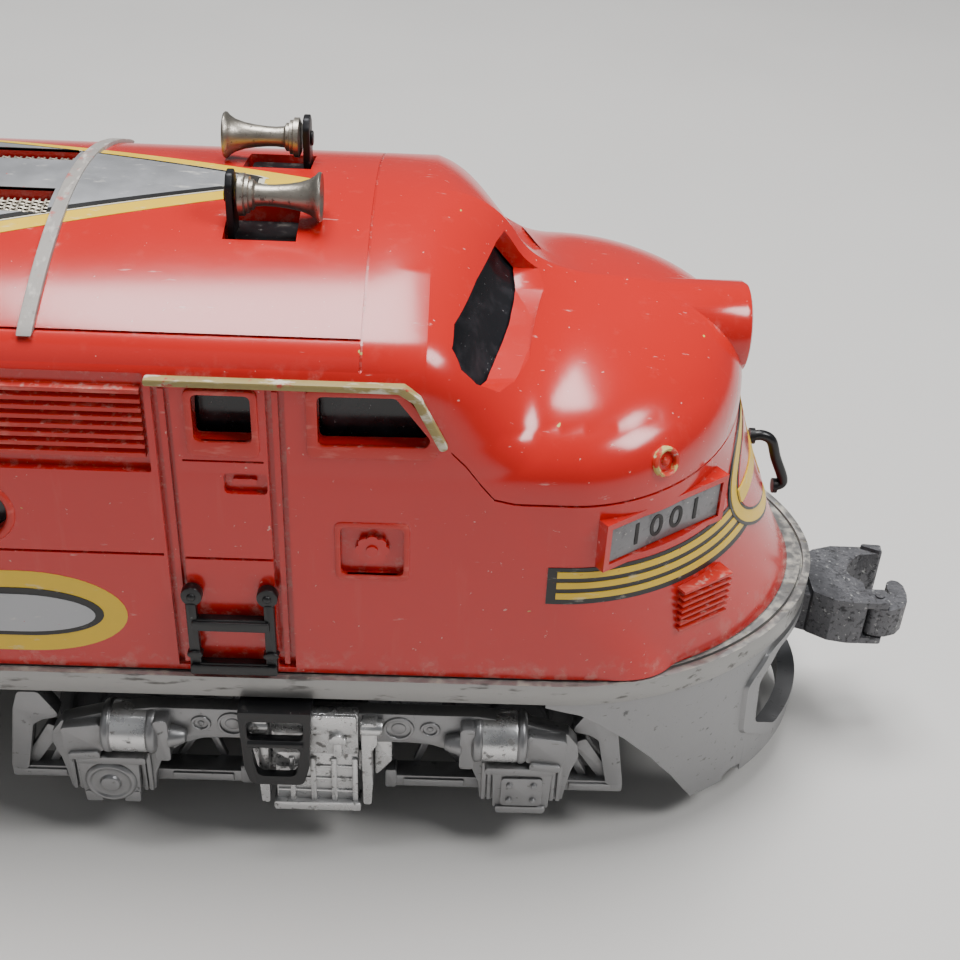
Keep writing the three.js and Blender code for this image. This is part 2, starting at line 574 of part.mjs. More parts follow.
function pickupArm() {
  const { hingeX, hingeZ, rollerX, rollerZ } = PICKUP;
  const sheet = box([-1.5, -5, 5], [hingeX, 5, 6]);
  const barrel = rod([hingeX, -5, hingeZ], [hingeX, 5, hingeZ], 1.6, 14);
  const ears = join(box([rollerX - 1.4, 4, 2.6], [0, 5, 6]), box([rollerX - 1.4, -5, 2.6], [0, -4, 6]));
  const pin = rod([rollerX, -4.5, rollerZ], [rollerX, 4.5, rollerZ], 0.6, 8);
  return join(cut(join(sheet, barrel), rod([hingeX, -8, hingeZ], [hingeX, 8, hingeZ], 1, 10)), ears, pin);
}

function pickupRoller() {
  const { rollerX, rollerZ, rollerRadius } = PICKUP;
  return cut(rod([rollerX, -3.7, rollerZ], [rollerX, 3.7, rollerZ], rollerRadius, 18),
    rod([rollerX, -6, rollerZ], [rollerX, 6, rollerZ], 0.9, 10));
}

function motorHousing() {
  const low = [WORM_X - 11.5, -12, 22.3];
  const high = [WORM_X + 11.5, 12, 50];
  return cut(box(low, high), rod([WORM_X, 0, 26], [WORM_X, 0, 55], 9.8, 20), rod([WORM_X, 0, 20], [WORM_X, 0, 30], 1.6, 10));
}

function brushPlate() {
  const plate = box([WORM_X - 11.5, -12, 50.3], [WORM_X + 11.5, 12, 52.3]);
  const tubes = [-1, 1].map((side) => rod([WORM_X, 6.5 * side, 52], [WORM_X, 6.5 * side, 56], 2.2, 12));
  return cut(join(plate, ...tubes), rod([WORM_X, 0, 48], [WORM_X, 0, 58], 1.6, 10));
}

function armature() {
  return moved(turned([[0, 5.6], [1.2, 5.6], [1.2, 27], [9.2, 27.6], [9.2, 44], [5.5, 45.5], [5.5, 47.5], [1.2, 48],
    [1.2, 55], [0, 55]], 18), WORM_X, 0, 0);
}

function driveWorm() {
  const profile = [[1.5, 7.4]];
  for (let z = 7.4; z < 15; z += 2) profile.push([GEAR.wormRadius - 0.8, z], [GEAR.wormRadius, z + 1]);
  profile.push([GEAR.wormRadius - 0.8, 15.4], [1.5, 15.4], [1.5, 7.4]);
  return moved(turned(profile, 10), WORM_X, 0, 0);
}

function wormGear() {
  const points = [];
  for (let i = 0; i < GEAR.teeth * 4; i += 1) {
    const radius = i % 4 < 2 ? GEAR.radius : GEAR.root;
    const angle = (2 * Math.PI * (i + 0.5)) / (GEAR.teeth * 4);
    points.push([DRIVE_AXLE_X + radius * Math.cos(angle), AXLE_Z + radius * Math.sin(angle)]);
  }
  return cut(prism('y', points, -1.8, 1.8), axleHole(DRIVE_AXLE_X));
}

const axle = (x) => rod([x, -20.4, AXLE_Z], [x, 20.4, AXLE_Z], AXLE_RADIUS, 14);

function wheel(x) {
  const profile = [[2.3, 14.3], [11.4, 14.3], [11.6, 15.2], [10.6, 16], [10.3, 20.2], [8.4, 20.2], [8, 18.8],
    [2.3, 18.8], [2.3, 14.3]];
  return moved(turned(profile, 18).rotate([-90, 0, 0]), x, 0, AXLE_Z);
}

// ---------------------------------------------------------------- couplers, drawn pointing forward

const HEAD_LENGTH = 15;
const KNUCKLE_PIVOT = [10, -5.2];

function couplerArm(tipX) {
  const base = tipX - HEAD_LENGTH;
  const { bottom, top, halfWidth } = COUPLER;
  const outline = [[0, -4.5], [6, -halfWidth], [8.2, -halfWidth], [8.2, -1.6], [6.4, -0.2], [6.4, 2.4], [9, 5],
    [13, 5.5], [13, halfWidth], [5, halfWidth], [0, 4.5]];
  const head = prism('z', outline.map(([x, y]) => [x + base, y]), bottom, top);
  const ear = [[8, -halfWidth], [11.4, -halfWidth], [11.4, -3.6], [8, -3.6]].map(([x, y]) => [x + base, y]);
  const bar = box([COUPLER_PIVOT_X, -2.5, 17.6], [base + 3, 2.5, 20.4]);
  const eye = rod([COUPLER_PIVOT_X, 0, 17.6], [COUPLER_PIVOT_X, 0, 20.4], 4, 18);
  const bore = rod([COUPLER_PIVOT_X, 0, 10], [COUPLER_PIVOT_X, 0, 30], 2.1, 14);
  const pin = rod([base + KNUCKLE_PIVOT[0], KNUCKLE_PIVOT[1], bottom], [base + KNUCKLE_PIVOT[0], KNUCKLE_PIVOT[1], top], 0.7, 10);
  return join(head, prism('z', ear, bottom, bottom + 1.1), prism('z', ear, top - 1.1, top), cut(join(bar, eye), bore), pin);
}

function knuckle(tipX) {
  const base = tipX - HEAD_LENGTH;
  const [px, py] = KNUCKLE_PIVOT;
  const finger = [[px, py - 1.5], [13, -6.4], [15, -4], [15, -0.4], [13.4, 0.6], [12.4, -0.6], [12.6, -2.8], [px + 0.6, py + 1.5]];
  const low = COUPLER.bottom + 1.4;
  const high = COUPLER.top - 1.4;
  const hub = rod([base + px, py, low], [base + px, py, high], 1.5, 16);
  return cut(join(prism('z', finger.map(([x, y]) => [x + base, y]), low, high), hub),
    rod([base + px, py, 10], [base + px, py, 30], 1, 10));
}

// ---------------------------------------------------------------- assembly

const locomotive = new THREE.Group();

function add(group, name, body, material) {
  const mesh = new THREE.Mesh(surface(body), material);
  mesh.name = name;
  group.add(mesh);
}

// A piece drawn for the left side, and its mirror image for the right.
function addPair(group, name, body, material) {
  add(group, `${name}_left`, body, material);
  add(group, `${name}_right`, mirrored(body), material);
}

function addWheelset(group, name, x) {
  add(group, `${name}_axle`, axle(x), FINISH.bareSteel);
  addPair(group, `${name}_wheel`, wheel(x), FINISH.sintered);
}

function addBody(group) {
  add(group, 'body_shell', bodyShell(), FINISH.redPlastic);
  addPair(group, 'windshield', windshieldPane(), FINISH.clearPlastic);
  addPair(group, 'side_glazing', sideGlazing(), FINISH.clearPlastic);
  addPair(group, 'porthole_glazing', portholeGlazing(), FINISH.clearPlastic);
  add(group, 'headlight_lens', headlightLens(), FINISH.lens);
  addPair(group, 'number_board', numberBoard(), FINISH.plate);
  add(group, 'horn_bracket_left', hornBracket(-1), FINISH.blackSteel);
  add(group, 'horn_bracket_right', mirrored(hornBracket(1)), FINISH.blackSteel);
  add(group, 'horn_left', horn(-1), FINISH.bareSteel);
  add(group, 'horn_right', mirrored(horn(1)), FINISH.bareSteel);
  addPair(group, 'roof_screen', roofScreen(), FINISH.blackSteel);
  add(group, 'nose_grab_rail', grabRail(), FINISH.blackPlastic);
  addPair(group, 'door_step', doorStep(), FINISH.blackPlastic);
  add(group, 'lamp_bracket', lampBracket(), FINISH.brass);
  add(group, 'lamp_bulb', lampBulb(), FINISH.lens);
}

function addChassis(group) {
  add(group, 'chassis_frame', chassisFrame(), FINISH.silverPaint);
  add(group, 'front_pilot', frontPilot(), FINISH.silverPaint);
  add(group, 'fuel_tank', fuelTank(), FINISH.silverPaint);
  add(group, 'body_screw_front', bodyScrew(BODY_SCREW_X.front, PILOT.top - PILOT.web - GAP), FINISH.blackSteel);
  add(group, 'body_screw_rear', bodyScrew(BODY_SCREW_X.rear, FRAME.bottom - GAP), FINISH.blackSteel);
  add(group, 'rear_pivot_screw', join(rod([REAR_TRUCK_X, 0, 9], [REAR_TRUCK_X, 0, 34], 2.5, 14),
    rod([REAR_TRUCK_X, 0, FRAME.top + GAP], [REAR_TRUCK_X, 0, 34.5], 5, 16)), FINISH.bareSteel);
  add(group, 'reversing_unit', reversingUnit(), FINISH.phenolic);
  add(group, 'reversing_lever', reversingLever(), FINISH.blackSteel);
}

function addFrontTruck(group) {
  const tipX = COUPLER.tipX - FRONT_TRUCK_X;
  add(group, 'front_truck_frame', frontTruckFrame(), FINISH.zinc);
  addPair(group, 'front_side_frame', sideFrame(), FINISH.silverPaint);
  addPair(group, 'stirrup_step', stirrupStep(), FINISH.blackPlastic);
  add(group, 'motor_housing', motorHousing(), FINISH.blackSteel);
  add(group, 'brush_plate', brushPlate(), FINISH.phenolic);
  add(group, 'armature', armature(), FINISH.copper);
  add(group, 'drive_worm', driveWorm(), FINISH.brass);
  add(group, 'worm_gear', wormGear(), FINISH.brass);
  addWheelset(group, 'front_lead', HALF_BASE);
  addWheelset(group, 'front_drive', DRIVE_AXLE_X);
  add(group, 'front_coupler_arm', couplerArm(tipX), FINISH.zinc);
  add(group, 'front_knuckle', knuckle(tipX), FINISH.zinc);
}

function addRearTruck(group) {
  const tipX = COUPLER.tipX + REAR_TRUCK_X;
  add(group, 'rear_truck_frame', rearTruckFrame(), FINISH.blackSteel);
  addPair(group, 'rear_side_frame', sideFrame(), FINISH.silverPaint);
  addWheelset(group, 'rear_lead', HALF_BASE);
  addWheelset(group, 'rear_trail', -HALF_BASE);
  add(group, 'pickup_arm', pickupArm(), FINISH.copper);
  add(group, 'pickup_roller', pickupRoller(), FINISH.bareSteel);
  add(group, 'rear_coupler_arm', couplerArm(tipX).rotate([0, 0, 180]), FINISH.zinc);
  add(group, 'rear_knuckle', knuckle(tipX).rotate([0, 0, 180]), FINISH.zinc);
}

const frontTruck = new THREE.Group();
const rearTruck = new THREE.Group();
frontTruck.position.x = FRONT_TRUCK_X;
rearTruck.position.x = REAR_TRUCK_X;
locomotive.add(frontTruck, rearTruck);
addBody(locomotive);
addChassis(locomotive);
addFrontTruck(frontTruck);
addRearTruck(rearTruck);

export default locomotive;
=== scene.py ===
"""The finished look of a three-rail electric toy locomotive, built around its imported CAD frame.

Sizes are millimetres in the frame's own axes: +X towards the nose, +Y to the locomotive's left, +Z up
from the ground under the wheel flanges. A mesh is turned to metres when it becomes a Blender object.
"""

import logging
import math
from collections.abc import Iterable, Sequence
from dataclasses import dataclass, field
from enum import Enum

import bpy
import numpy as np
from mathutils import Matrix, Vector


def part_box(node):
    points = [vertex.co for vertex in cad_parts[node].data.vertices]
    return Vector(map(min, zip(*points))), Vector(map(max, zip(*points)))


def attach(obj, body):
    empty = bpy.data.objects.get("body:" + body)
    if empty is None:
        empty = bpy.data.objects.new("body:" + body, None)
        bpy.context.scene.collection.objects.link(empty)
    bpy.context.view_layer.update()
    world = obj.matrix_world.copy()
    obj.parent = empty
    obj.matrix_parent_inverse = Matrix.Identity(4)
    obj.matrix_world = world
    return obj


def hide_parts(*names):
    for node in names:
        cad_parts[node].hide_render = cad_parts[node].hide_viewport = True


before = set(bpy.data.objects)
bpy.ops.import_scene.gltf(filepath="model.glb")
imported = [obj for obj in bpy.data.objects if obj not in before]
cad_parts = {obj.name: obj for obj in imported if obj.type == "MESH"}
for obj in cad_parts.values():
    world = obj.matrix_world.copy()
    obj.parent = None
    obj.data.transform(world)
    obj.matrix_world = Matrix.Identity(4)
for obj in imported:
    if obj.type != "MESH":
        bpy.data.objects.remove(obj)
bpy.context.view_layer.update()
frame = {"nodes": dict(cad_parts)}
LOG = logging.getLogger("locomotive")
MM = 0.001

Point = Sequence[float]


# ---------------------------------------------------------------- sizes taken from the frame


def corner(node: str, which: int) -> np.ndarray:
    """Returns a CAD node's lowest (0) or highest (1) corner in millimetres."""
    return np.array(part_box(node)[which]) / MM


def corners(node: str) -> tuple[np.ndarray, np.ndarray]:
    """Returns a CAD node's lowest and highest corners in millimetres."""
    return corner(node, 0), corner(node, 1)


def middle(node: str) -> np.ndarray:
    """Returns the middle of a CAD node's box in millimetres."""
    return sum(corners(node)) / 2


WHEELBASE = middle("front_lead_axle")[0] - middle("front_drive_axle")[0]
CAB = float(middle("front_lead_axle")[0] - WHEELBASE / 2)
REAR_TRUCK = float(middle("rear_lead_axle")[0] - WHEELBASE / 2)
AXLE_Z = float(middle("front_lead_axle")[2])
BODY_REAR = float(corner("body_shell", 0)[0])
SHELL_BOTTOM = float(corner("body_shell", 0)[2])
FRAME_BOTTOM, FRAME_TOP = float(corner("chassis_frame", 0)[2]), float(corner("chassis_frame", 1)[2])
SIDES = (("left", 1), ("right", -1))
SCREEN, HORN_TAB = "roof_screen_left", "horn_bracket_left"
BOLT_XS = (139, -145)  # of the two screws that hold the body
BOARD_REAR, BOARD_FRONT = (36.2, 30.7), (51.2, 19.8)  # the left number board's line, from the cab's centre


# ---------------------------------------------------------------- shapes


@dataclass
class Shape:
    """A closed surface: corner points in millimetres, and faces that look outwards."""

    points: np.ndarray
    faces: list[tuple[int, ...]]

    def moved(self, x: float = 0.0, y: float = 0.0, z: float = 0.0) -> "Shape":
        """Returns a copy moved by x, y and z."""
        return Shape(self.points + np.array([x, y, z]), self.faces)

    def flipped(self, axis: int = 1) -> "Shape":
        """Returns the mirror image across the plane through the origin that faces along an axis."""
        scale = np.ones(3)
        scale[axis] = -1
        return Shape(self.points * scale, [tuple(reversed(f)) for f in self.faces])

    def turned(self, axis: str, degrees: float) -> "Shape":
        """Returns a copy turned about an axis through the origin."""
        spin = np.array(Matrix.Rotation(math.radians(degrees), 3, axis.upper()))
        return Shape(self.points @ spin.T, self.faces)

    def inside_out(self) -> "Shape":
        """Returns a copy whose faces look the other way."""
        return Shape(self.points, [tuple(reversed(f)) for f in self.faces])

    def on_side(self, sign: int) -> "Shape":
        """Returns the shape itself for the left side (1), or its mirror image for the right side (-1)."""
        return self if sign > 0 else self.flipped()


def both(shapes: Iterable[Shape]) -> list[Shape]:
    """Returns shapes drawn for the left side together with their mirror images."""
    shapes = list(shapes)
    return shapes + [s.flipped() for s in shapes]


PUSH_ORDER = {"x": (2, 0, 1), "y": (0, 2, 1), "z": (0, 1, 2)}
TURN_ORDER = {"x": (2, 0, 1), "y": (1, 2, 0), "z": (0, 1, 2)}


def signed_area(outline: Sequence[Point]) -> float:
    """Returns twice an outline's area, which is negative where it runs clockwise."""
    flat = np.array(outline, float)
    ahead = np.roll(flat, -1, axis=0)
    return float(np.sum(flat[:, 0] * ahead[:, 1] - ahead[:, 0] * flat[:, 1]))


def rectangle(left: float, bottom: float, right: float, top: float) -> tuple[tuple[float, float], ...]:
    """Returns an upright rectangle's corners, from the low left one round to the high left one."""
    return (left, bottom), (right, bottom), (right, top), (left, top)


def prism(axis: str, outline: Sequence[Point], start: float, end: float) -> Shape:
    """Pushes a flat outline along an axis.

    Args:
        axis: x, y or z. The outline's points are (y, z), (x, z) or (x, y).
        outline: the corners, in either direction.
        start: where the solid begins along the axis.
        end: where it ends.

    Returns:
        The closed solid.
    """
    flat = np.array(outline, float)
    if (signed_area(outline) < 0) != (axis == "y"):
        flat = flat[::-1]
    n = len(flat)
    low = np.column_stack([flat, np.full(n, start)])[:, PUSH_ORDER[axis]]
    high = np.column_stack([flat, np.full(n, end)])[:, PUSH_ORDER[axis]]
    faces = [tuple(reversed(range(n))), tuple(range(n, 2 * n))]
    faces += [(i, (i + 1) % n, n + (i + 1) % n, n + i) for i in range(n)]
    return Shape(np.vstack([low, high]), faces)


def box(low: Point, high: Point) -> Shape:
    """Returns a block between two corners."""
    return prism("z", rectangle(low[0], low[1], high[0], high[1]), low[2], high[2])


def lathe(profile: Sequence[Point], axis: str, about: Point = (0, 0, 0), sides: int = 40) -> Shape:
    """Turns a profile of (radius, along) points, which starts and ends on the axis, about that axis."""
    rings: list[list[int]] = []
    points: list[tuple[float, float, float]] = []
    for radius, along in profile:
        count = 1 if radius < 1e-6 else sides
        rings.append(list(range(len(points), len(points) + count)))
        for i in range(count):
            angle = 2 * math.pi * i / sides
            points.append((radius * math.cos(angle), radius * math.sin(angle), along))
    faces: list[tuple[int, ...]] = []
    for low, high in zip(rings, rings[1:]):
        for i in range(sides):
            j = (i + 1) % sides
            quad = [low[i % len(low)], low[j % len(low)], high[j % len(high)], high[i % len(high)]]
            face = tuple(dict.fromkeys(quad))
            if len(face) > 2:
                faces.append(face)
    shape = Shape(np.array(points)[:, TURN_ORDER[axis]], faces)
    return (shape.inside_out() if profile[0][1] > profile[-1][1] else shape).moved(*about)


def ring_profile(profile: Sequence[Point], axis: str, about: Point, sides: int = 40) -> Shape:
    """Turns a closed profile that stays clear of the axis, such as a rim or a bezel."""
    n = len(profile)
    points, faces = [], []
    for i in range(sides):
        angle = 2 * math.pi * i / sides
        points += [(r * math.cos(angle), r * math.sin(angle), s) for r, s in profile]
    for i in range(sides):
        j = (i + 1) % sides
        faces += [(i * n + k, j * n + k, j * n + (k + 1) % n, i * n + (k + 1) % n) for k in range(n)]
    shape = Shape(np.array(points)[:, TURN_ORDER[axis]], faces)
    return (shape.inside_out() if signed_area(profile) < 0 else shape).moved(*about)


def rod(start: Point, end: Point, radius: float, sides: int = 24) -> Shape:
    """Returns a cylinder between two points."""
    a, b = Vector(start), Vector(end)
    turn = (b - a).to_track_quat("Z", "Y").to_matrix()
    shape = lathe([(0, 0), (radius, 0), (radius, (b - a).length), (0, (b - a).length)], "z", sides=sides)
    return Shape(shape.points @ np.array(turn).T + np.array(a), shape.faces)


def tube(path: Sequence[Point], radius: float, sides: int = 14, steps: int = 6) -> Shape:
    """Returns a round bar along a smooth curve through the given points."""
    given = [Vector(p) for p in path]
    line: list[Vector] = []
    for i in range(len(given) - 1):
        before, a, b = given[max(i - 1, 0)], given[i], given[i + 1]
        after = given[min(i + 2, len(given) - 1)]
        for k in range(steps):
            t = k / steps
            line.append(0.5 * (2 * a + (b - before) * t + (2 * before - 5 * a + 4 * b - after) * t * t
                               + (3 * a - before - 3 * b + after) * t ** 3))
    line.append(given[-1])
    across = (line[1] - line[0]).orthogonal().normalized()
    points, faces = [], []
    for i, here in enumerate(line):
        ahead = (line[min(i + 1, len(line) - 1)] - line[max(i - 1, 0)]).normalized()
        across = (across - ahead * across.dot(ahead)).normalized()
        up = ahead.cross(across)
        for k in range(sides):
            angle = 2 * math.pi * k / sides
            points.append(here + radius * (math.cos(angle) * across + math.sin(angle) * up))
    for i in range(len(line) - 1):
        for k in range(sides):
            j = (k + 1) % sides
            faces.append((i * sides + k, i * sides + j, (i + 1) * sides + j, (i + 1) * sides + k))
    faces += [tuple(reversed(range(sides))), tuple(range((len(line) - 1) * sides, len(line) * sides))]
    return Shape(np.array([list(p) for p in points]), faces)


def rounded(outline: Sequence[Point], radius: float, steps: int = 4) -> list[tuple[float, float]]:
    """Returns an outline whose corners are rounded, each to no more than its sides allow."""
    corners = [Vector(p) for p in outline]
    points: list[tuple[float, float]] = []
    for i, here in enumerate(corners):
        back, ahead = corners[i - 1] - here, corners[(i + 1) % len(corners)] - here
        half = back.angle(ahead, math.pi) / 2
        reach = min(radius / max(math.tan(half), 0.05), back.length * 0.45, ahead.length * 0.45)
        a, b = here + back.normalized() * reach, here + ahead.normalized() * reach
        for k in range(steps + 1):
            t = k / steps
            spot = a * (1 - t) ** 2 + here * 2 * t * (1 - t) + b * t * t
            points.append((spot.x, spot.y))
    return points


def oval(centre: Point, reach: Point, count: int = 40) -> list[tuple[float, float]]:
    """Returns an ellipse as an outline."""
    angles = [2 * math.pi * i / count for i in range(count)]
    return [(centre[0] + reach[0] * math.cos(a), centre[1] + reach[1] * math.sin(a)) for a in angles]


# ---------------------------------------------------------------- Blender objects


def link(mesh: bpy.types.Mesh, name: str) -> bpy.types.Object:
    """Returns a new object for a mesh, linked to the scene."""
    obj = bpy.data.objects.new(name, mesh)
    bpy.context.scene.collection.objects.link(obj)
    return obj


def raw_object(name: str, shapes: Iterable[Shape]) -> bpy.types.Object:
    """Returns an object that holds the shapes side by side, in metres."""
    points, faces, base = [], [], 0
    for shape in shapes:
        points.append(shape.points)
        faces += [tuple(base + i for i in face) for face in shape.faces]
        base += len(shape.points)
    mesh = bpy.data.meshes.new(name)
    mesh.from_pydata((np.vstack(points) * MM).tolist(), [], faces)
    mesh.update()
    return link(mesh, name)


def settle(obj: bpy.types.Object) -> bpy.types.Object:
    """Turns an object's modifiers into its own mesh and returns it."""
    depsgraph = bpy.context.evaluated_depsgraph_get()
    mesh = bpy.data.meshes.new_from_object(obj.evaluated_get(depsgraph))
    obj.modifiers.clear()
    obj.data = mesh
    mesh.name = obj.name
    return obj


class Cut(Enum):
    """What a second solid does to the first."""

    AWAY = "DIFFERENCE"
    JOIN = "UNION"
    WITHIN = "INTERSECT"


def combine(obj: bpy.types.Object, how: Cut, solids: Iterable[Shape | bpy.types.Object]) -> bpy.types.Object:
    """Cuts solids from an object, joins them to it, or keeps what lies within each, one after another.

    Args:
        obj: the object that is changed and returned.
        how: what the solids do to it.
        solids: shapes, or objects, which are used up.
    """
    tools = [raw_object("tool", [solid]) if isinstance(solid, Shape) else solid for solid in solids]
    for tool in tools:
        change = obj.modifiers.new("cut", "BOOLEAN")
        change.solver = "MANIFOLD"
        change.operation = how.value
        change.object = tool
    settle(obj)
    for tool in tools:
        bpy.data.objects.remove(tool)
    return obj


def soften(obj: bpy.types.Object, width: float, segments: int = 2, angle: float = 35.0) -> bpy.types.Object:
    """Rounds an object's edges to a width in millimetres, as a mould or casting leaves them."""
    bevel = obj.modifiers.new("edge", "BEVEL")
    bevel.width = width * MM
    bevel.segments = segments
    bevel.limit_method = "ANGLE"
    bevel.angle_limit = math.radians(angle)
    bevel.use_clamp_overlap = True
    return settle(obj)


def shade(obj: bpy.types.Object, angle: float = 32.0) -> bpy.types.Object:
    """Shades an object smoothly, with sharp edges where its faces turn by more than an angle."""
    mesh = obj.data
    mesh.polygons.foreach_set("use_smooth", [True] * len(mesh.polygons))
    mesh.set_sharp_from_angle(angle=math.radians(angle))
    return obj


def mirrored(obj: bpy.types.Object, sign: int) -> bpy.types.Object:
    """Leaves an object as it is for the left side (1), or turns it into its mirror image for the right."""
    if sign < 0:
        obj.data.transform(Matrix.Diagonal((1, -1, 1, 1)))
        obj.data.flip_normals()
    return obj


def dressed(obj: bpy.types.Object, finish: "Finish") -> bpy.types.Object:
    """Gives an object one finish."""
    obj.data.materials.clear()
    obj.data.materials.append(finish.material())
    return obj


def merged(name: str, objects: Sequence[bpy.types.Object]) -> bpy.types.Object:
    """Joins objects, with their materials, into one that keeps the name."""
    bpy.ops.object.select_all(action="DESELECT")
    for obj in objects:
        obj.select_set(True)
    bpy.context.view_layer.objects.active = objects[0]
    if len(objects) > 1:
        bpy.ops.object.join()
    objects[0].name = name
    objects[0].data.name = name
    return objects[0]


def make(name: str, shapes: Iterable[Shape], finish: "Finish", edge: float = 0.0,
         angle: float = 32.0) -> bpy.types.Object:
    """Builds one finished object from shapes that stand side by side.

    Args:
        name: the object's name.
        shapes: closed solids in millimetres.
        finish: what all of them are made of.
        edge: width of the rounding on their edges, or 0 for none.
        angle: faces that turn by more than this meet in a sharp edge.

    Returns:
        The object, not yet riding on a body.
    """
    obj = raw_object(name, shapes)
    if edge:
        soften(obj, edge)
    return dressed(shade(obj, angle), finish)


def place(obj: bpy.types.Object, body: str, slot: str, *nodes: str) -> bpy.types.Object:
    """Puts a piece on its body and hides the CAD nodes that it stands for."""
    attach(obj, body)
    if nodes:
        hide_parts(*nodes)
    LOG.info("%s: %d faces on %s", obj.name, len(obj.data.polygons), body)
    return obj


# ---------------------------------------------------------------- repeats


def add_node(tree: bpy.types.NodeTree, kind: str, links: dict | None = None,
             **settings: object) -> bpy.types.Node:
    """Adds one node with its settings and its links.

    Args:
        tree: the node tree.
        kind: the node's type name.
        links: input name or index to a socket to link from, or a plain value.
        **settings: attributes of the node itself.

    Returns:
        The node.
    """
    node = tree.nodes.new(kind)
    for name, value in settings.items():
        setattr(node, name, value)
    for name, value in (links or {}).items():
        if isinstance(value, bpy.types.NodeSocket):
            tree.links.new(value, node.inputs[name])
        else:
            node.inputs[name].default_value = value
    return node


class Repeat:
    """A Geometry Nodes tree that repeats one unit shape, and the mesh that it leaves behind."""

    def __init__(self, name: str) -> None:
        """Starts a tree with a geometry output and the inputs that every repeat has."""
        self.tree = bpy.data.node_groups.new(name, "GeometryNodeTree")
        self.values: dict[str, object] = {}
        self.tree.interface.new_socket("Geometry", in_out="OUTPUT", socket_type="NodeSocketGeometry")
        self.inputs = self.tree.nodes.new("NodeGroupInput")

    def size(self, name: str, kind: str, value: object) -> bpy.types.NodeSocket:
        """Adds a named input with its value, and returns the socket that carries it."""
        socket = self.tree.interface.new_socket(name, in_out="INPUT", socket_type=kind)
        self.values[socket.identifier] = value
        return next(s for s in self.inputs.outputs if s.identifier == socket.identifier)

    def result(self, points: bpy.types.NodeSocket, unit: bpy.types.NodeSocket,
               material: bpy.types.Material) -> bpy.types.Object:
        """Stands the unit on the points and returns the plain mesh object.

        Args:
            points: the geometry whose points carry the copies.
            unit: the object input.
            material: what the copies are made of.
        """
        tree = self.tree
        info = add_node(tree, "GeometryNodeObjectInfo", {"Object": unit})
        copies = add_node(tree, "GeometryNodeInstanceOnPoints",
                          {"Points": points, "Instance": info.outputs["Geometry"]})
        real = add_node(tree, "GeometryNodeRealizeInstances", {"Geometry": copies.outputs["Instances"]})
        painted = add_node(tree, "GeometryNodeSetMaterial",
                           {"Geometry": real.outputs[0], "Material": material})
        add_node(tree, "NodeGroupOutput", {0: painted.outputs[0]})
        holder = link(bpy.data.meshes.new(tree.name), tree.name)
        modifier = holder.modifiers.new("repeat", "NODES")
        modifier.node_group = tree
        for identifier, value in self.values.items():
            modifier[identifier] = value
        settle(holder)
        bpy.data.node_groups.remove(tree)
        return holder


def row(name: str, unit: Shape, start: Point, step: Point, count: int, finish: "Finish") -> bpy.types.Object:
    """Repeats a unit along a straight line, such as slats, rivets or wires."""
    repeat = Repeat(name)
    source = make(f"{name}_unit", [unit], finish)
    thing = repeat.size("Unit", "NodeSocketObject", source)
    number = repeat.size("Count", "NodeSocketInt", count)
    first = repeat.size("Start", "NodeSocketVector", [c * MM for c in start])
    offset = repeat.size("Step", "NodeSocketVector", [c * MM for c in step])
    line = add_node(repeat.tree, "GeometryNodeMeshLine",
                    {"Count": number, "Start Location": first, "Offset": offset}, mode="OFFSET")
    obj = repeat.result(line.outputs[0], thing, finish.material())
    bpy.data.objects.remove(source)
    return obj


# ---------------------------------------------------------------- materials


def linear(code: str) -> tuple[float, float, float, float]:
    """Turns an sRGB hex colour into linear values with full alpha."""
    values = [int(code[i:i + 2], 16) / 255 for i in (1, 3, 5)]
    return (*[v / 12.92 if v <= 0.04045 else ((v + 0.055) / 1.055) ** 2.4 for v in values], 1.0)


class Axis(Enum):
    """Which of a point's coordinates a band is measured along."""

    X = 0
    Y = 1
    Z = 2


@dataclass(frozen=True)
class Patch:
    """Something that lies on a finish or is worn into it in patches, such as dust, scuffs, chips and painted
    shade where the form bends.
    """

    color: str
    threshold: float  # how much of a 0 to 1 noise stays clear; higher leaves less of the patch
    size: float  # of one patch, in millimetres
    roughness: float
    strength: float = 1.0
    edge: float = 0.05
    metallic: float = 0.0
    detail: float = 4.0
    stretch: tuple[float, float, float] = (1.0, 1.0, 1.0)
    band: tuple[Axis, float, float] | None = None  # full at the first height, gone at the second
    upward: bool = False  # lies on faces that look up
    corners: bool = False  # gathers where the form bends: dust on the red enamel, painted shade on the metal finishes
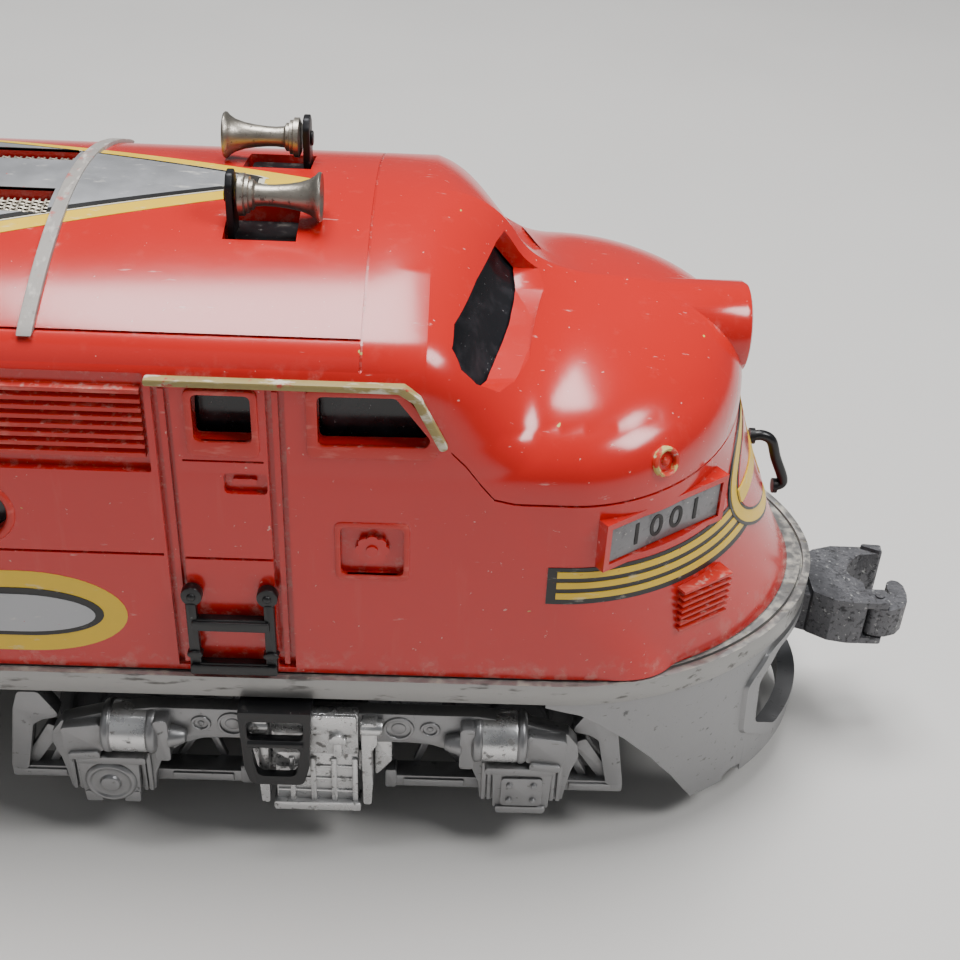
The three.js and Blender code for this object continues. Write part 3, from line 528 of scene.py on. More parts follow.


@dataclass(frozen=True)
class Finish:
    """One material of the object, made as its comment says."""

    name: str
    color: str
    roughness: float
    metallic: float = 0.0
    mottle: float = 0.08  # how far the colour wanders, as a share of its brightness
    mottle_size: float = 6.0
    grain: float = 1.0  # size of the surface grain in millimetres
    grain_height: float = 0.01  # depth of the grain in millimetres
    coat: float = 0.0
    ior: float = 1.5
    patches: tuple[Patch, ...] = field(default_factory=tuple)

    def material(self) -> bpy.types.Material:
        """Returns the node material, made once and shared."""
        return bpy.data.materials.get(self.name) or self.build()

    def noise(self, tree: bpy.types.NodeTree, where: bpy.types.NodeSocket, size: float, detail: float,
              stretch: Sequence[float] = (1, 1, 1)) -> bpy.types.NodeSocket:
        """Adds noise with features of a size in millimetres, and returns its value."""
        scaled = add_node(tree, "ShaderNodeMapping", {"Vector": where, "Scale": [1 / s for s in stretch]})
        made = add_node(tree, "ShaderNodeTexNoise",
                        {"Vector": scaled.outputs[0], "Scale": 1 / (size * MM), "Detail": detail,
                         "Roughness": 0.6})
        return made.outputs["Fac"]

    def cover(self, tree: bpy.types.NodeTree, where: bpy.types.NodeSocket,
              patch: Patch) -> bpy.types.NodeSocket:
        """Adds the mask of one patch and returns it, from 0 where it is absent."""
        value = self.noise(tree, where, patch.size, patch.detail, patch.stretch)
        spread = add_node(tree, "ShaderNodeMapRange",
                          {"Value": value, "From Min": patch.threshold,
                           "From Max": patch.threshold + patch.edge, "To Max": patch.strength})
        mask = spread.outputs[0]
        factors = []
        if patch.band:
            axis, full, gone = patch.band
            split = add_node(tree, "ShaderNodeSeparateXYZ", {0: where})
            factors.append(add_node(tree, "ShaderNodeMapRange",
                                    {"Value": split.outputs[axis.value], "From Min": gone * MM,
                                     "From Max": full * MM}).outputs[0])
        if patch.upward:
            up = add_node(tree, "ShaderNodeNewGeometry")
            split = add_node(tree, "ShaderNodeSeparateXYZ", {0: up.outputs["Normal"]})
            factors.append(add_node(tree, "ShaderNodeMapRange",
                                    {"Value": split.outputs[2], "From Min": 0.35,
                                     "From Max": 0.9}).outputs[0])
        # where the form bends, from ambient occlusion: dust on the red enamel, painted shade on the metal
        # finishes
        if patch.corners:
            bent = add_node(tree, "ShaderNodeAmbientOcclusion", {"Distance": 2.5 * MM}, samples=4)
            factors.append(add_node(tree, "ShaderNodeMapRange",
                                    {"Value": bent.outputs["AO"], "From Min": 0.95,
                                     "From Max": 0.55}).outputs[0])
        for factor in factors:
            mask = add_node(tree, "ShaderNodeMath", {0: mask, 1: factor}, operation="MULTIPLY").outputs[0]
        return mask

    def build(self) -> bpy.types.Material:
        """Builds the node tree: base colour, then each patch over it, then the surface grain."""
        material = bpy.data.materials.new(self.name)
        material.use_nodes = True
        tree = material.node_tree
        shader = tree.nodes["Principled BSDF"]
        where = add_node(tree, "ShaderNodeTexCoord").outputs["Object"]
        base = linear(self.color)
        low = [c * (1 - self.mottle) for c in base[:3]] + [1.0]
        high = [min(c * (1 + self.mottle), 1.0) for c in base[:3]] + [1.0]
        wander = self.noise(tree, where, self.mottle_size, 3.0)
        color = add_node(tree, "ShaderNodeMix", {0: wander, 6: low, 7: high}, data_type="RGBA").outputs[2]
        rough = add_node(tree, "ShaderNodeMapRange",
                         {"Value": wander, "From Min": 0.3, "From Max": 0.7,
                          "To Min": self.roughness * 0.85, "To Max": self.roughness * 1.15}).outputs[0]
        metal: bpy.types.NodeSocket | None = None
        for patch in self.patches:
            mask = self.cover(tree, where, patch)
            color = add_node(tree, "ShaderNodeMix", {0: mask, 6: color, 7: linear(patch.color)},
                             data_type="RGBA").outputs[2]
            rough = add_node(tree, "ShaderNodeMix", {0: mask, 2: rough, 3: patch.roughness}).outputs[0]
            if patch.metallic != self.metallic:
                metal = add_node(tree, "ShaderNodeMix",
                                 {0: mask, 2: metal or self.metallic, 3: patch.metallic}).outputs[0]
        bump = add_node(tree, "ShaderNodeBump",
                        {"Height": self.noise(tree, where, self.grain, 5.0), "Strength": 1.0,
                         "Distance": self.grain_height * MM})
        tree.links.new(color, shader.inputs["Base Color"])
        tree.links.new(rough, shader.inputs["Roughness"])
        tree.links.new(bump.outputs[0], shader.inputs["Normal"])
        if metal:
            tree.links.new(metal, shader.inputs["Metallic"])
        else:
            shader.inputs["Metallic"].default_value = self.metallic
        shader.inputs["IOR"].default_value = self.ior
        shader.inputs["Coat Weight"].default_value = self.coat
        shader.inputs["Coat Roughness"].default_value = 0.12
        return material


DUST = "#C9BFB2"

# Polystyrene, injection moulded and sprayed in gloss enamel: deep and even, with dust, hairline scratches
# that catch the light, and small chips down to the yellow-green primer.
RED = Finish("gloss_red_enamel_on_polystyrene", "#C8211C", 0.2, mottle=0.05, mottle_size=25, grain=1.6,
             grain_height=0.012, coat=0.25, patches=(
                 Patch("#D8584E", 0.6, 3.0, 0.3, 0.12, 0.1, stretch=(1, 1, 9)),
                 Patch("#E7B9AD", 0.705, 0.9, 0.5, 0.65, 0.03, stretch=(1, 1, 1)),
                 Patch("#EBCFC6", 0.69, 1.0, 0.5, 0.3, 0.05, stretch=(6, 1, 1)),
                 Patch("#C9C25F", 0.8, 2.6, 0.5, 1.0, 0.02, detail=2.0),
                 Patch(DUST, 0.52, 2.2, 0.8, 0.6, 0.3, band=(Axis.Z, 31.0, 36.5)),
                 Patch(DUST, 0.52, 1.6, 0.85, 0.45, 0.3, corners=True)))
# The same enamel where slats and mouldings stand proud and hold the dust.
RED_TRIM = Finish("gloss_red_enamel_on_raised_trim", "#C42A20", 0.35, mottle=0.08, mottle_size=8, grain=0.8,
                  grain_height=0.02, patches=(
                      Patch("#E58B7E", 0.55, 1.2, 0.5, 0.45, 0.15, stretch=(4, 1, 1)),
                      Patch(DUST, 0.55, 1.0, 0.85, 0.7, 0.2, upward=True)))
# Raised moulding rubbed through the enamel to the olive plastic and its primer.
WORN_RAIL = Finish("rubbed_olive_moulding", "#9C8A55", 0.6, mottle=0.2, mottle_size=2, grain=0.6,
                   grain_height=0.03, patches=(
                       Patch("#D8D2C0", 0.52, 1.4, 0.7, 0.85, 0.1, stretch=(3, 1, 1)),
                       Patch("#B0332A", 0.6, 1.8, 0.45, 0.9, 0.06)))
# Aluminium paint on zinc castings: fine flake, dulled by handling, with dark scuffs, and painted shade where
# the form bends.
SILVER = Finish("aluminium_paint_on_zinc", "#8F8F90", 0.38, 0.8, mottle=0.12, mottle_size=5, grain=0.35,
                grain_height=0.02, patches=(
                    Patch("#4C4B4B", 0.64, 1.6, 0.6, 0.75, 0.08, metallic=0.4),
                    Patch("#63615F", 0.66, 0.7, 0.6, 0.7, 0.04, metallic=0.3, stretch=(5, 1, 1)),
                    # painted shade: darker grey where the form bends
                    Patch("#6A6864", 0.42, 2.0, 0.75, 0.75, 0.4, metallic=0.2, corners=True)))
# The same paint on the ledge round the body, where greyish cream dirt has settled on its top.
SILVER_LEDGE = Finish("aluminium_paint_with_settled_dirt", "#999896", 0.4, 0.75, mottle=0.12, mottle_size=6,
                      grain=0.4, grain_height=0.02, patches=(
                          Patch("#55524F", 0.58, 1.5, 0.6, 0.8, 0.08, metallic=0.3, stretch=(5, 1, 1)),
                          Patch("#BDB8A8", 0.46, 2.0, 0.85, 0.8, 0.25, upward=True),
                          Patch("#8D8A62", 0.66, 1.1, 0.9, 0.8, 0.06, upward=True)))
# Aluminium paint rubbed nearly to bare metal on the parts that stand out, and painted lighter as a highlight
# for the light that they catch; painted shade where the form bends.
SILVER_RUBBED_AND_HIGHLIT = Finish("rubbed_aluminium_paint", "#C9C9C9", 0.28, 0.9, mottle=0.12, mottle_size=3, grain=0.3,
                       grain_height=0.02, patches=(
                           Patch("#5C5A57", 0.57, 1.3, 0.6, 0.8, 0.08, metallic=0.3),
                           # painted shade: darker grey where the form bends
                           Patch("#777572", 0.42, 1.5, 0.7, 0.7, 0.4, metallic=0.2, corners=True)))
# Moulded black acetal: satin, with a few pale rubs.
BLACK = Finish("satin_black_moulding", "#131315", 0.34, mottle=0.15, mottle_size=4, grain=0.8,
               grain_height=0.012, patches=(
                   Patch("#8A8A88", 0.7, 0.7, 0.6, 0.6, 0.03),
                   Patch("#5A5754", 0.62, 1.6, 0.7, 0.35, 0.15, upward=True)))
# Blackened sheet steel with a grey oxide bloom.
BLACK_STEEL = Finish("blackened_steel", "#232326", 0.45, 0.6, mottle=0.2, mottle_size=3, grain=0.5,
                     grain_height=0.015, patches=(
                         Patch("#7C7A76", 0.66, 0.9, 0.6, 0.6, 0.05, metallic=0.5),
                         Patch("#6B655C", 0.55, 1.5, 0.85, 0.4, 0.2, upward=True)))
# Turned steel, bright with faint rings and some grey tarnish.
STEEL = Finish("turned_steel", "#B4B2AD", 0.3, 1.0, mottle=0.1, mottle_size=2, grain=0.3, grain_height=0.01,
               patches=(Patch("#6A6762", 0.6, 1.5, 0.55, 0.6, 0.1, metallic=0.8),))
# Plated die-cast horn, gone dull and warm with fine pits, and painted shade where the form bends.
HORN_METAL = Finish("dull_plated_casting", "#A09A90", 0.36, 0.9, mottle=0.15, mottle_size=1.5, grain=0.3,
                    grain_height=0.03, patches=(
                        Patch("#4A4641", 0.6, 0.8, 0.6, 0.75, 0.06, metallic=0.5),
                        # painted shade: darker where the form bends
                        Patch("#57534D", 0.4, 1.2, 0.7, 0.7, 0.4, metallic=0.3, corners=True)))
# Sintered iron wheel: dark, even and slightly porous.
SINTERED = Finish("sintered_iron", "#3A3A3C", 0.5, 0.8, mottle=0.2, mottle_size=2, grain=0.25,
                  grain_height=0.03, patches=(Patch("#6F6A62", 0.62, 1.4, 0.8, 0.4, 0.15, metallic=0.2),))
# Bare zinc casting: coarse grey grain, pale on its high spots and nearly black in its pits.
CAST_ZINC = Finish("bare_grainy_zinc_casting", "#68686B", 0.5, 0.75, mottle=0.3, mottle_size=1.5, grain=0.55,
                   grain_height=0.12, patches=(
                       Patch("#2C2C2E", 0.53, 0.8, 0.7, 0.75, 0.12, metallic=0.5),
                       Patch("#C4C4C2", 0.62, 0.7, 0.45, 0.7, 0.08, metallic=0.8)))
# Machined brass, slightly tarnished.
BRASS = Finish("machined_brass", "#B5924E", 0.33, 1.0, mottle=0.12, mottle_size=2, grain=0.3,
               grain_height=0.01, patches=(Patch("#6E5732", 0.6, 1.5, 0.5, 0.6, 0.1, metallic=0.8),))
# Enamelled copper windings and copper strip.
COPPER = Finish("enamelled_copper", "#9C5732", 0.38, 0.9, mottle=0.2, mottle_size=1.5, grain=0.4,
                grain_height=0.05, patches=(Patch("#4C2A1A", 0.58, 1.0, 0.5, 0.6, 0.1, metallic=0.6),))
# Brown laminated phenolic sheet with a paper fleck.
PHENOLIC = Finish("laminated_phenolic_sheet", "#5E3420", 0.55, mottle=0.2, mottle_size=1.2, grain=0.4,
                  grain_height=0.02, patches=(Patch("#7E5234", 0.6, 0.6, 0.6, 0.5, 0.08,
                                                    stretch=(6, 1, 1)),))
# Clear styrene glazing, painted almost black for the shade behind it: glossy, and specked with dust.
GLAZING_PAINTED_DARK = Finish("smoked_clear_styrene", "#1B1B1E", 0.16, mottle=0.3, mottle_size=6, grain=3.0,
                 grain_height=0.02, patches=(
                     Patch("#A9A6A2", 0.69, 0.5, 0.8, 0.7, 0.03),
                     Patch("#55545A", 0.5, 4.0, 0.5, 0.35, 0.3)))
# Clear moulded lens, greyish cream from the lamp behind it.
LENS = Finish("clear_moulded_lens", "#D8D2BC", 0.12, mottle=0.08, mottle_size=3, grain=1.0,
              grain_height=0.02, coat=0.5, patches=(Patch("#8F897B", 0.6, 1.2, 0.5, 0.5, 0.1),))
# Translucent grey number plate.
PLATE = Finish("grey_translucent_plate", "#7B7A7C", 0.35, 0.2, mottle=0.2, mottle_size=2.5, grain=0.8,
               grain_height=0.02, patches=(Patch("#4B4A4C", 0.55, 1.5, 0.6, 0.6, 0.15),
                                           Patch("#C7C2B8", 0.66, 0.6, 0.8, 0.7, 0.05)))
# Black printing ink on the plate, rubbed thin.
INK = Finish("black_printing_ink", "#0E0D0E", 0.5, mottle=0.2, mottle_size=1, grain=0.4, grain_height=0.01,
             patches=(Patch("#5B5A5C", 0.66, 0.6, 0.5, 0.8, 0.05),))
# Woven wire, dull plated and dusty.
WIRE = Finish("dull_plated_wire", "#A59E90", 0.45, 0.8, mottle=0.2, mottle_size=1.5, grain=0.4,
              grain_height=0.02, patches=(Patch("#3B3833", 0.58, 1.3, 0.7, 0.8, 0.12, metallic=0.3),))
# Grey film of dust and worn paint along the raised roof strap.
STRAP = Finish("rubbed_grey_strap", "#9C9792", 0.6, 0.2, mottle=0.15, mottle_size=2, grain=0.5,
               grain_height=0.03, patches=(
                   Patch("#C43A30", 0.6, 2.2, 0.45, 0.75, 0.12),
                   Patch("#D6D0C8", 0.56, 1.2, 0.8, 0.7, 0.15, stretch=(1, 3, 1)),
                   Patch("#6D6863", 0.62, 1.0, 0.7, 0.6, 0.08)))


def film(name: str, color: str, metallic: float = 0.0, roughness: float = 0.35) -> Finish:
    """Returns a printed film of one colour, worn through to the red in small spots and dusty on top."""
    return Finish(name, color, roughness, metallic, mottle=0.07, mottle_size=5, grain=1.0, grain_height=0.01,
                  patches=(Patch("#B8342A", 0.71, 1.3, 0.4, 0.9, 0.03),
                           Patch("#D9D4C6", 0.62, 1.2, 0.7, 0.4, 0.1, stretch=(3, 1, 1))))


# Screen-printed inks: cadmium yellow, black, a pale edge line and aluminium ink.
YELLOW = film("yellow_screen_ink", "#E6BE2B")
PRINT_BLACK = film("black_screen_ink", "#1B1A1A")
PALE = film("pale_screen_ink", "#D5CFBE")
PRINT_SILVER = film("aluminium_screen_ink", "#A6A7AA", 0.6, 0.42)

# The marker lights' rims: red enamel rubbed to the yellow-green primer on the crest.
WORN_MARKER = Finish("rubbed_marker_rim", "#CC3A2A", 0.35, mottle=0.1, mottle_size=2, grain=0.6,
                     grain_height=0.02, patches=(
                         Patch("#C8BF72", 0.52, 1.6, 0.6, 0.9, 0.05),
                         Patch("#DAD4CC", 0.62, 0.8, 0.7, 0.8, 0.06)))
# Matt pale paper sweep.
FLOOR = Finish("matt_paper_sweep", "#CFCDCA", 0.85, mottle=0.02, mottle_size=60, grain=3, grain_height=0.01)


# ---------------------------------------------------------------- body form


def smooth_max(a: np.ndarray, b: np.ndarray, blend: float | np.ndarray) -> np.ndarray:
    """Returns the larger of two forms, rounded where they meet."""
    return np.maximum(a, b) + np.maximum(blend - np.abs(a - b), 0) ** 2 / (4 * blend)


def ramp(value: np.ndarray, low: float, high: float) -> np.ndarray:
    """Returns 0 at low, 1 at high, and a straight line between."""
    return np.clip((value - low) / (high - low), 0, 1)


@dataclass
class BodyForm:
    """The locomotive body as a rule: negative inside, and nearly a distance close to the surface."""

    half_width: float = 32.0
    roof_top: float = 87.0
    roof_radius: float = 68.0
    nose_join: float = 94.0
    fan_z: float = 45.0
    hood_start: float = 112.0
    hood_line: float = 60.5
    hood_height: float = 15.0
    hood_crown: float = 0.106
    tip_high: float = 136.9
    tip_low: float = 148.4

    def value(self, p: np.ndarray) -> np.ndarray:
        """Returns the form's value at points."""
        x, y, z = p[..., 0], np.abs(p[..., 1]), p[..., 2]
        roof = np.hypot(y, z - (self.roof_top - self.roof_radius)) - self.roof_radius
        section = smooth_max(y - self.half_width, roof, 4)
        windshield = 0.8 * (x - (CAB + 27 - 0.65 * (z - 78) - 0.3 * y))
        tip = self.tip_high + (self.tip_low - self.tip_high) * ramp(z, self.hood_line, SHELL_BOTTOM) ** 1.35
        along = np.maximum(x - self.hood_start, 0) / (tip - self.hood_start)
        plan = (along ** 1.9 + (y / self.half_width) ** 1.9) ** (1 / 1.9)
        lift = z - self.hood_line
        rise = np.maximum(lift + self.hood_crown * y * ramp(lift, 0, 8), 0) / self.hood_height
        hood = 26 * ((plan ** 3 + rise ** 3) ** (1 / 3) - 1)
        return -smooth_max(-smooth_max(section, windshield, 6), -hood, 0.5 + 8 * ramp(z, 64, 76))

    def normal(self, p: np.ndarray) -> np.ndarray:
        """Returns the outward direction at points."""
        step = 0.05
        slopes = [self.value(p + step * e) - self.value(p - step * e) for e in np.eye(3)]
        slope = np.stack(slopes, -1)
        return slope / np.maximum(np.linalg.norm(slope, axis=-1, keepdims=True), 1e-9)

    def reach(self, start: np.ndarray, ray: np.ndarray, inset: float) -> np.ndarray:
        """Returns where rays from inside meet the surface, moved in by an inset."""
        inside, outside = np.zeros(len(ray)), np.full(len(ray), 90.0)
        for _ in range(30):
            half = (inside + outside) / 2
            within = self.value(start + half[:, None] * ray) + inset < 0
            inside, outside = np.where(within, half, inside), np.where(within, outside, half)
        return start + inside[:, None] * ray

    def skin(self, inset: float = 0.0, rear: float | None = None, bottom: float | None = None,
             headings: int = 120, lifts: int = 64) -> Shape:
        """Builds the body as one closed solid.

        Args:
            inset: how far inside the true surface it lies; negative lies outside.
            rear: x of the flat rear end.
            bottom: z of the flat underside.
            headings: steps round the nose.
            lifts: steps from the level line up to the crown.

        Returns:
            The solid: level rows low down, and a fan of rows above them.
        """
        rear = BODY_REAR if rear is None else rear
        bottom = SHELL_BOTTOM if bottom is None else bottom
        rows = [(z, 0.0) for z in np.linspace(bottom, self.fan_z, 8)]
        rows += [(self.fan_z, math.pi / 2 * k / lifts) for k in range(1, lifts)]
        start, ray = [], []
        for i in range(headings + 1):
            heading = -math.pi / 2 + math.pi * i / headings
            for z, lift in rows:
                start.append((self.nose_join, 0, z))
                ray.append((math.cos(heading) * math.cos(lift), math.sin(heading) * math.cos(lift),
                            math.sin(lift)))
        start.append((self.nose_join, 0, self.fan_z))
        ray.append((0, 0, 1))
        front = self.reach(np.array(start, float), np.array(ray), inset)
        size = len(rows)
        grid = [list(range(c * size, (c + 1) * size)) for c in range(headings + 1)]
        top = len(front) - 1
        back_of = np.concatenate([front[:size], front[-size - 1:-1], front[-1:]])
        back_of[:, 0] = rear
        points = np.vstack([front, back_of])
        first = [top + 1 + r for r in range(size)]
        last = [top + 1 + size + r for r in range(size)]
        rear_top = len(points) - 1
        columns = [first, *grid, last]
        faces: list[tuple[int, ...]] = []
        for c in range(len(columns) - 1):
            low, high = columns[c], columns[c + 1]
            faces += [(low[r], high[r], high[r + 1], low[r + 1]) for r in range(size - 1)]
            if 0 < c < len(columns) - 2:
                faces.append((low[-1], high[-1], top))
        faces.append((first[-1], grid[0][-1], top, rear_top))
        faces.append((grid[-1][-1], last[-1], rear_top, top))
        faces.append((*first, rear_top, *reversed(last)))
        faces.append(tuple(column[0] for column in reversed(columns)))
        return Shape(points, faces)

    def settle_normals(self, obj: bpy.types.Object) -> bpy.types.Object:
        """Gives the faces that follow the form its own exact normals, and shades the rest by angle."""
        shade(obj)
        mesh = obj.data
        loops, size = len(mesh.loops), len(mesh.polygons)
        points = np.empty(len(mesh.vertices) * 3)
        mesh.vertices.foreach_get("co", points)
        points = points.reshape(-1, 3) / MM
        index, normals = np.empty(loops, int), np.empty(size * 3)
        starts, totals = np.empty(size, int), np.empty(size, int)
        mesh.loops.foreach_get("vertex_index", index)
        mesh.polygons.foreach_get("normal", normals)
        mesh.polygons.foreach_get("loop_start", starts)
        mesh.polygons.foreach_get("loop_total", totals)
        face = np.repeat(normals.reshape(-1, 3), totals[np.argsort(starts)], axis=0)
        slope = self.normal(points)
        near = np.abs(self.value(points)) < 0.75
        fits = near[index] & (np.sum(face * slope[index], axis=1) > 0.965)
        wanted = np.where(fits[:, None], slope[index], 0.0)
        mesh.normals_split_custom_set(wanted.tolist())
        return obj


FORM = BodyForm()


def cab(points: Sequence[Point]) -> list[tuple[float, float]]:
    """Moves an outline drawn from the front truck's centre along X into the frame."""
    return [(x + CAB, z) for x, z in points]


@dataclass
class BodyShell:
    """The moulded shell with its openings, seams, mouldings and printing."""

    wall: float = 2.0
    seam: float = 0.35
    windshield: tuple = ((2.4, 77.4), (6.2, 76.1), (12.9, 74.6), (23.5, 72.6), (26.4, 72.8), (28.4, 75),
                         (28.6, 77), (27.2, 79), (23.9, 80.4), (15, 81.8), (5.8, 82.6), (2.4, 82.6))
    door_glass: tuple = rectangle(-13, 68.2, -6.2, 74.6)
    cab_glass: tuple = ((1.5, 68.1), (14.2, 68.3), (14.8, 69.3), (10.6, 75), (1.5, 74.9))
    porthole_xs: tuple = (39.5, -36.0, -111.0)
    porthole_z: float = 56.9
    porthole_radius: float = 4.0
    screw_radius: float = 1.8
    lamp_z: float = 68.5
    lamp_radius: float = 6.3
    louvre_top: float = 76.7
    louvre_bottom: float = 63.4
    louvre_front: float = -18.4
    louvre_bays: int = 4
    marker: tuple = (43.7, 27.8, 64.5)

    def recess(self, node: str, z0: float, z1: float, grow: float = 0.0) -> Shape:
        """Returns the block that makes room round a CAD node, between two heights."""
        low, high = corners(node)
        gap = 0.3 + grow
        return box((low[0] - gap, low[1] - gap, z0), (high[0] + gap, high[1] + gap, z1))

    def panel_bays(self) -> list[tuple[float, float]]:
        """Returns the rear and front x of each louvred panel, from the door back."""
        front, rear = CAB + self.louvre_front, BODY_REAR + 9.0
        step = (front - rear) / self.louvre_bays
        return [(front - step * (i + 1) + (1.6 if i + 1 < self.louvre_bays else 0), front - step * i)
                for i in range(self.louvre_bays)]

    def side_cuts(self) -> list[Shape]:
        """Returns what is cut from the left side: glazing, recesses, grooves and seams."""
        face = FORM.half_width
        door = [prism("y", cab(rectangle(a, 32.8, b, 75.2)), face - 0.9, face + 2)
                for a, b in ((-17.6, -15.45), (-4.5, -2.25))]
        cuts = [prism("y", cab(rounded(self.door_glass, 0.7)), face - 8, face + 3),
                prism("y", cab(rounded(self.cab_glass, 0.8)), face - 8, face + 3),
                *door,
                box((CAB - 15.45, face - self.seam, 50.5), (CAB - 4.5, face + 1, 50.9)),
                prism("y", cab(rounded(rectangle(-9.9, 60.7, -4.7, 63.7), 0.7)),
                      face - 0.7, face + 1),
                prism("y", cab(rounded(rectangle(3.9, 48.9, 11.7, 56.3), 0.6)),
                      face - 0.7, face + 1),
                box((BODY_REAR + 6, face - self.seam, 50.9), (CAB - 18.0, face + 1, 51.3)),
                prism("y", cab(rectangle(-14.6, 65.2, -5.0, 65.5)), face - 0.4, face + 1)]
        cuts += [prism("y", rounded(rectangle(a, self.louvre_bottom, b, self.louvre_top), 0.4),
                       face - 1.0, face + 1) for a, b in self.panel_bays()]
        cuts += [rod((x, face - 8, self.porthole_z), (x, face + 3, self.porthole_z), self.porthole_radius, 40)
                 for x in self.porthole_xs]
        line = [(17.2, 67.6), (19.0, 65.7), (20.8, 63.2), (22.6, 61.0), (25, 60.4), (27, 60.3)]
        cuts += [prism("y", cab([(a, b - 0.16), (c, d - 0.16), (c, d + 0.16), (a, b + 0.16)]),
                       face - 0.3, face + 1) for (a, b), (c, d) in zip(line, line[1:])]
        cuts += [self.windshield_cut(), self.recess(SCREEN, 80, 90), self.recess(HORN_TAB, 83.2, 90)]
        return cuts

    def windshield_cut(self) -> Shape:
        """Returns the left windshield opening, which ends just in front of the sloping face."""
        cut = prism("x", self.windshield, CAB + 5, CAB + 40)
        p = cut.points
        face = CAB + 29.2 - 0.65 * (p[:, 2] - 78) - 0.3 * p[:, 1]
        p[:, 0] = np.where(p[:, 0] > CAB + 20, face, p[:, 0])
        return cut

    def side_raised(self) -> list[Shape]:
        """Returns what stands proud of the left side: frames, ribs and the drip rail."""
        face = FORM.half_width
        inner, proud = face - 1.2, face + 0.32
        ribs = [prism("y", cab(rectangle(x - 0.35, 33.0, x + 0.35, 75.0)),
                      inner, face - 0.25) for x in (-16.5, -3.4)]
        wheel = [prism("y", cab(oval((7.8 + 1.35 * math.cos(a), 52.7 + 1.35 * math.sin(a)), (0.8, 0.8), 14)),
                       inner, face + 0.1) for a in np.linspace(0, 2 * math.pi, 9)[:-1]]
        return [*ribs, *wheel,
                prism("y", cab(oval((7.8, 52.7), (0.75, 0.75), 16)), inner, face + 0.35),
                prism("y", cab(rounded(rectangle(-8.9, 61.9, -6.0, 62.7), 0.3)),
                      inner, face - 0.2)]

    def frames(self) -> list[Shape]:
        """Returns the raised rims round the left side's windows, recesses and portholes."""
        face = FORM.half_width
        rims = []
        for outer, hole in (
                (rectangle(-13.9, 66.2, -5.4, 75.2), self.door_glass),
                (((0.2, 66.4), (15.2, 66.6), (16.2, 69.6), (11.4, 75.7), (0.2, 75.7)), self.cab_glass),
                (rectangle(3.2, 48.2, 12.4, 57.0),
                 rectangle(3.9, 48.9, 11.7, 56.3))):
            rims.append((cab(rounded(outer, 0.9)), cab(rounded(hole, 0.8))))
        return [self.rim(outline, hole, face - 0.4, face + 0.3) for outline, hole in rims]

    def rim(self, outline: Sequence[Point], hole: Sequence[Point], start: float, end: float) -> Shape:
        """Returns a flat frame between two outlines that have the same number of points."""
        n = len(outline)
        loops = [np.array([(x, y, z) for x, z in points]) for y, points in
                 rectangle(start, outline, end, hole)]
        faces = []
        for a in range(4):
            b = (a + 1) % 4
            faces += [(a * n + i, b * n + i, b * n + (i + 1) % n, a * n + (i + 1) % n) for i in range(n)]
        shape = Shape(np.vstack(loops), faces)
        return shape if signed_area(outline) > 0 else shape.inside_out()

    def band(self, height: float, depth: float, low: Point, high: Point) -> bpy.types.Object:
        """Returns the layer of skin between two offsets that lies inside a box."""
        layer = raw_object("layer", [FORM.skin(-height, rear=BODY_REAR - 2, bottom=20)])
        combine(layer, Cut.AWAY, [FORM.skin(depth, rear=BODY_REAR - 4, bottom=18)])
        return combine(layer, Cut.WITHIN, [box(low, high)])

    def board_slab(self, inside: float, outside: float, margin: float) -> Shape:
        """Returns an upright slab along the left number board's line."""
        rear, front, bottom, top = Vector(BOARD_REAR), Vector(BOARD_FRONT), 52.0, 57.2
        ahead = (front - rear).normalized()
        out = Vector((-ahead.y, ahead.x))
        spots = [rear - ahead * margin + out * inside, front + ahead * margin + out * inside,
                 front + ahead * margin + out * outside, rear - ahead * margin + out * outside]
        return prism("z", [(CAB + s.x, s.y) for s in spots], bottom - margin, top + margin)

    def nose_panel(self) -> list[Shape]:
        """Returns the slats of the left nose grille, which lie along the curved side."""
        spots = [(47.6, 27.2), (54.6, 22.6)]
        ahead = Vector((spots[1][0] - spots[0][0], spots[1][1] - spots[0][1])).normalized()
        out = Vector((-ahead.y, ahead.x))
        slats = []
        for i in range(7):
            z = 37.6 + i * 1.05
            low, high = Vector(spots[0]) - out * 1.6, Vector(spots[1]) - out * 1.6
            face_low, face_high = Vector(spots[0]) + out * 1.25, Vector(spots[1]) + out * 1.25
            outline = [(CAB + p.x, p.y) for p in (low, high, face_high, face_low)]
            slab = prism("z", outline, z, z + 0.7)
            lift = slab.points[:, 1] > 20
            slab.points[:, 2] += np.where(lift & (slab.points[:, 2] > z + 0.5), -0.25, 0.0)
            slats.append(slab)
        return slats

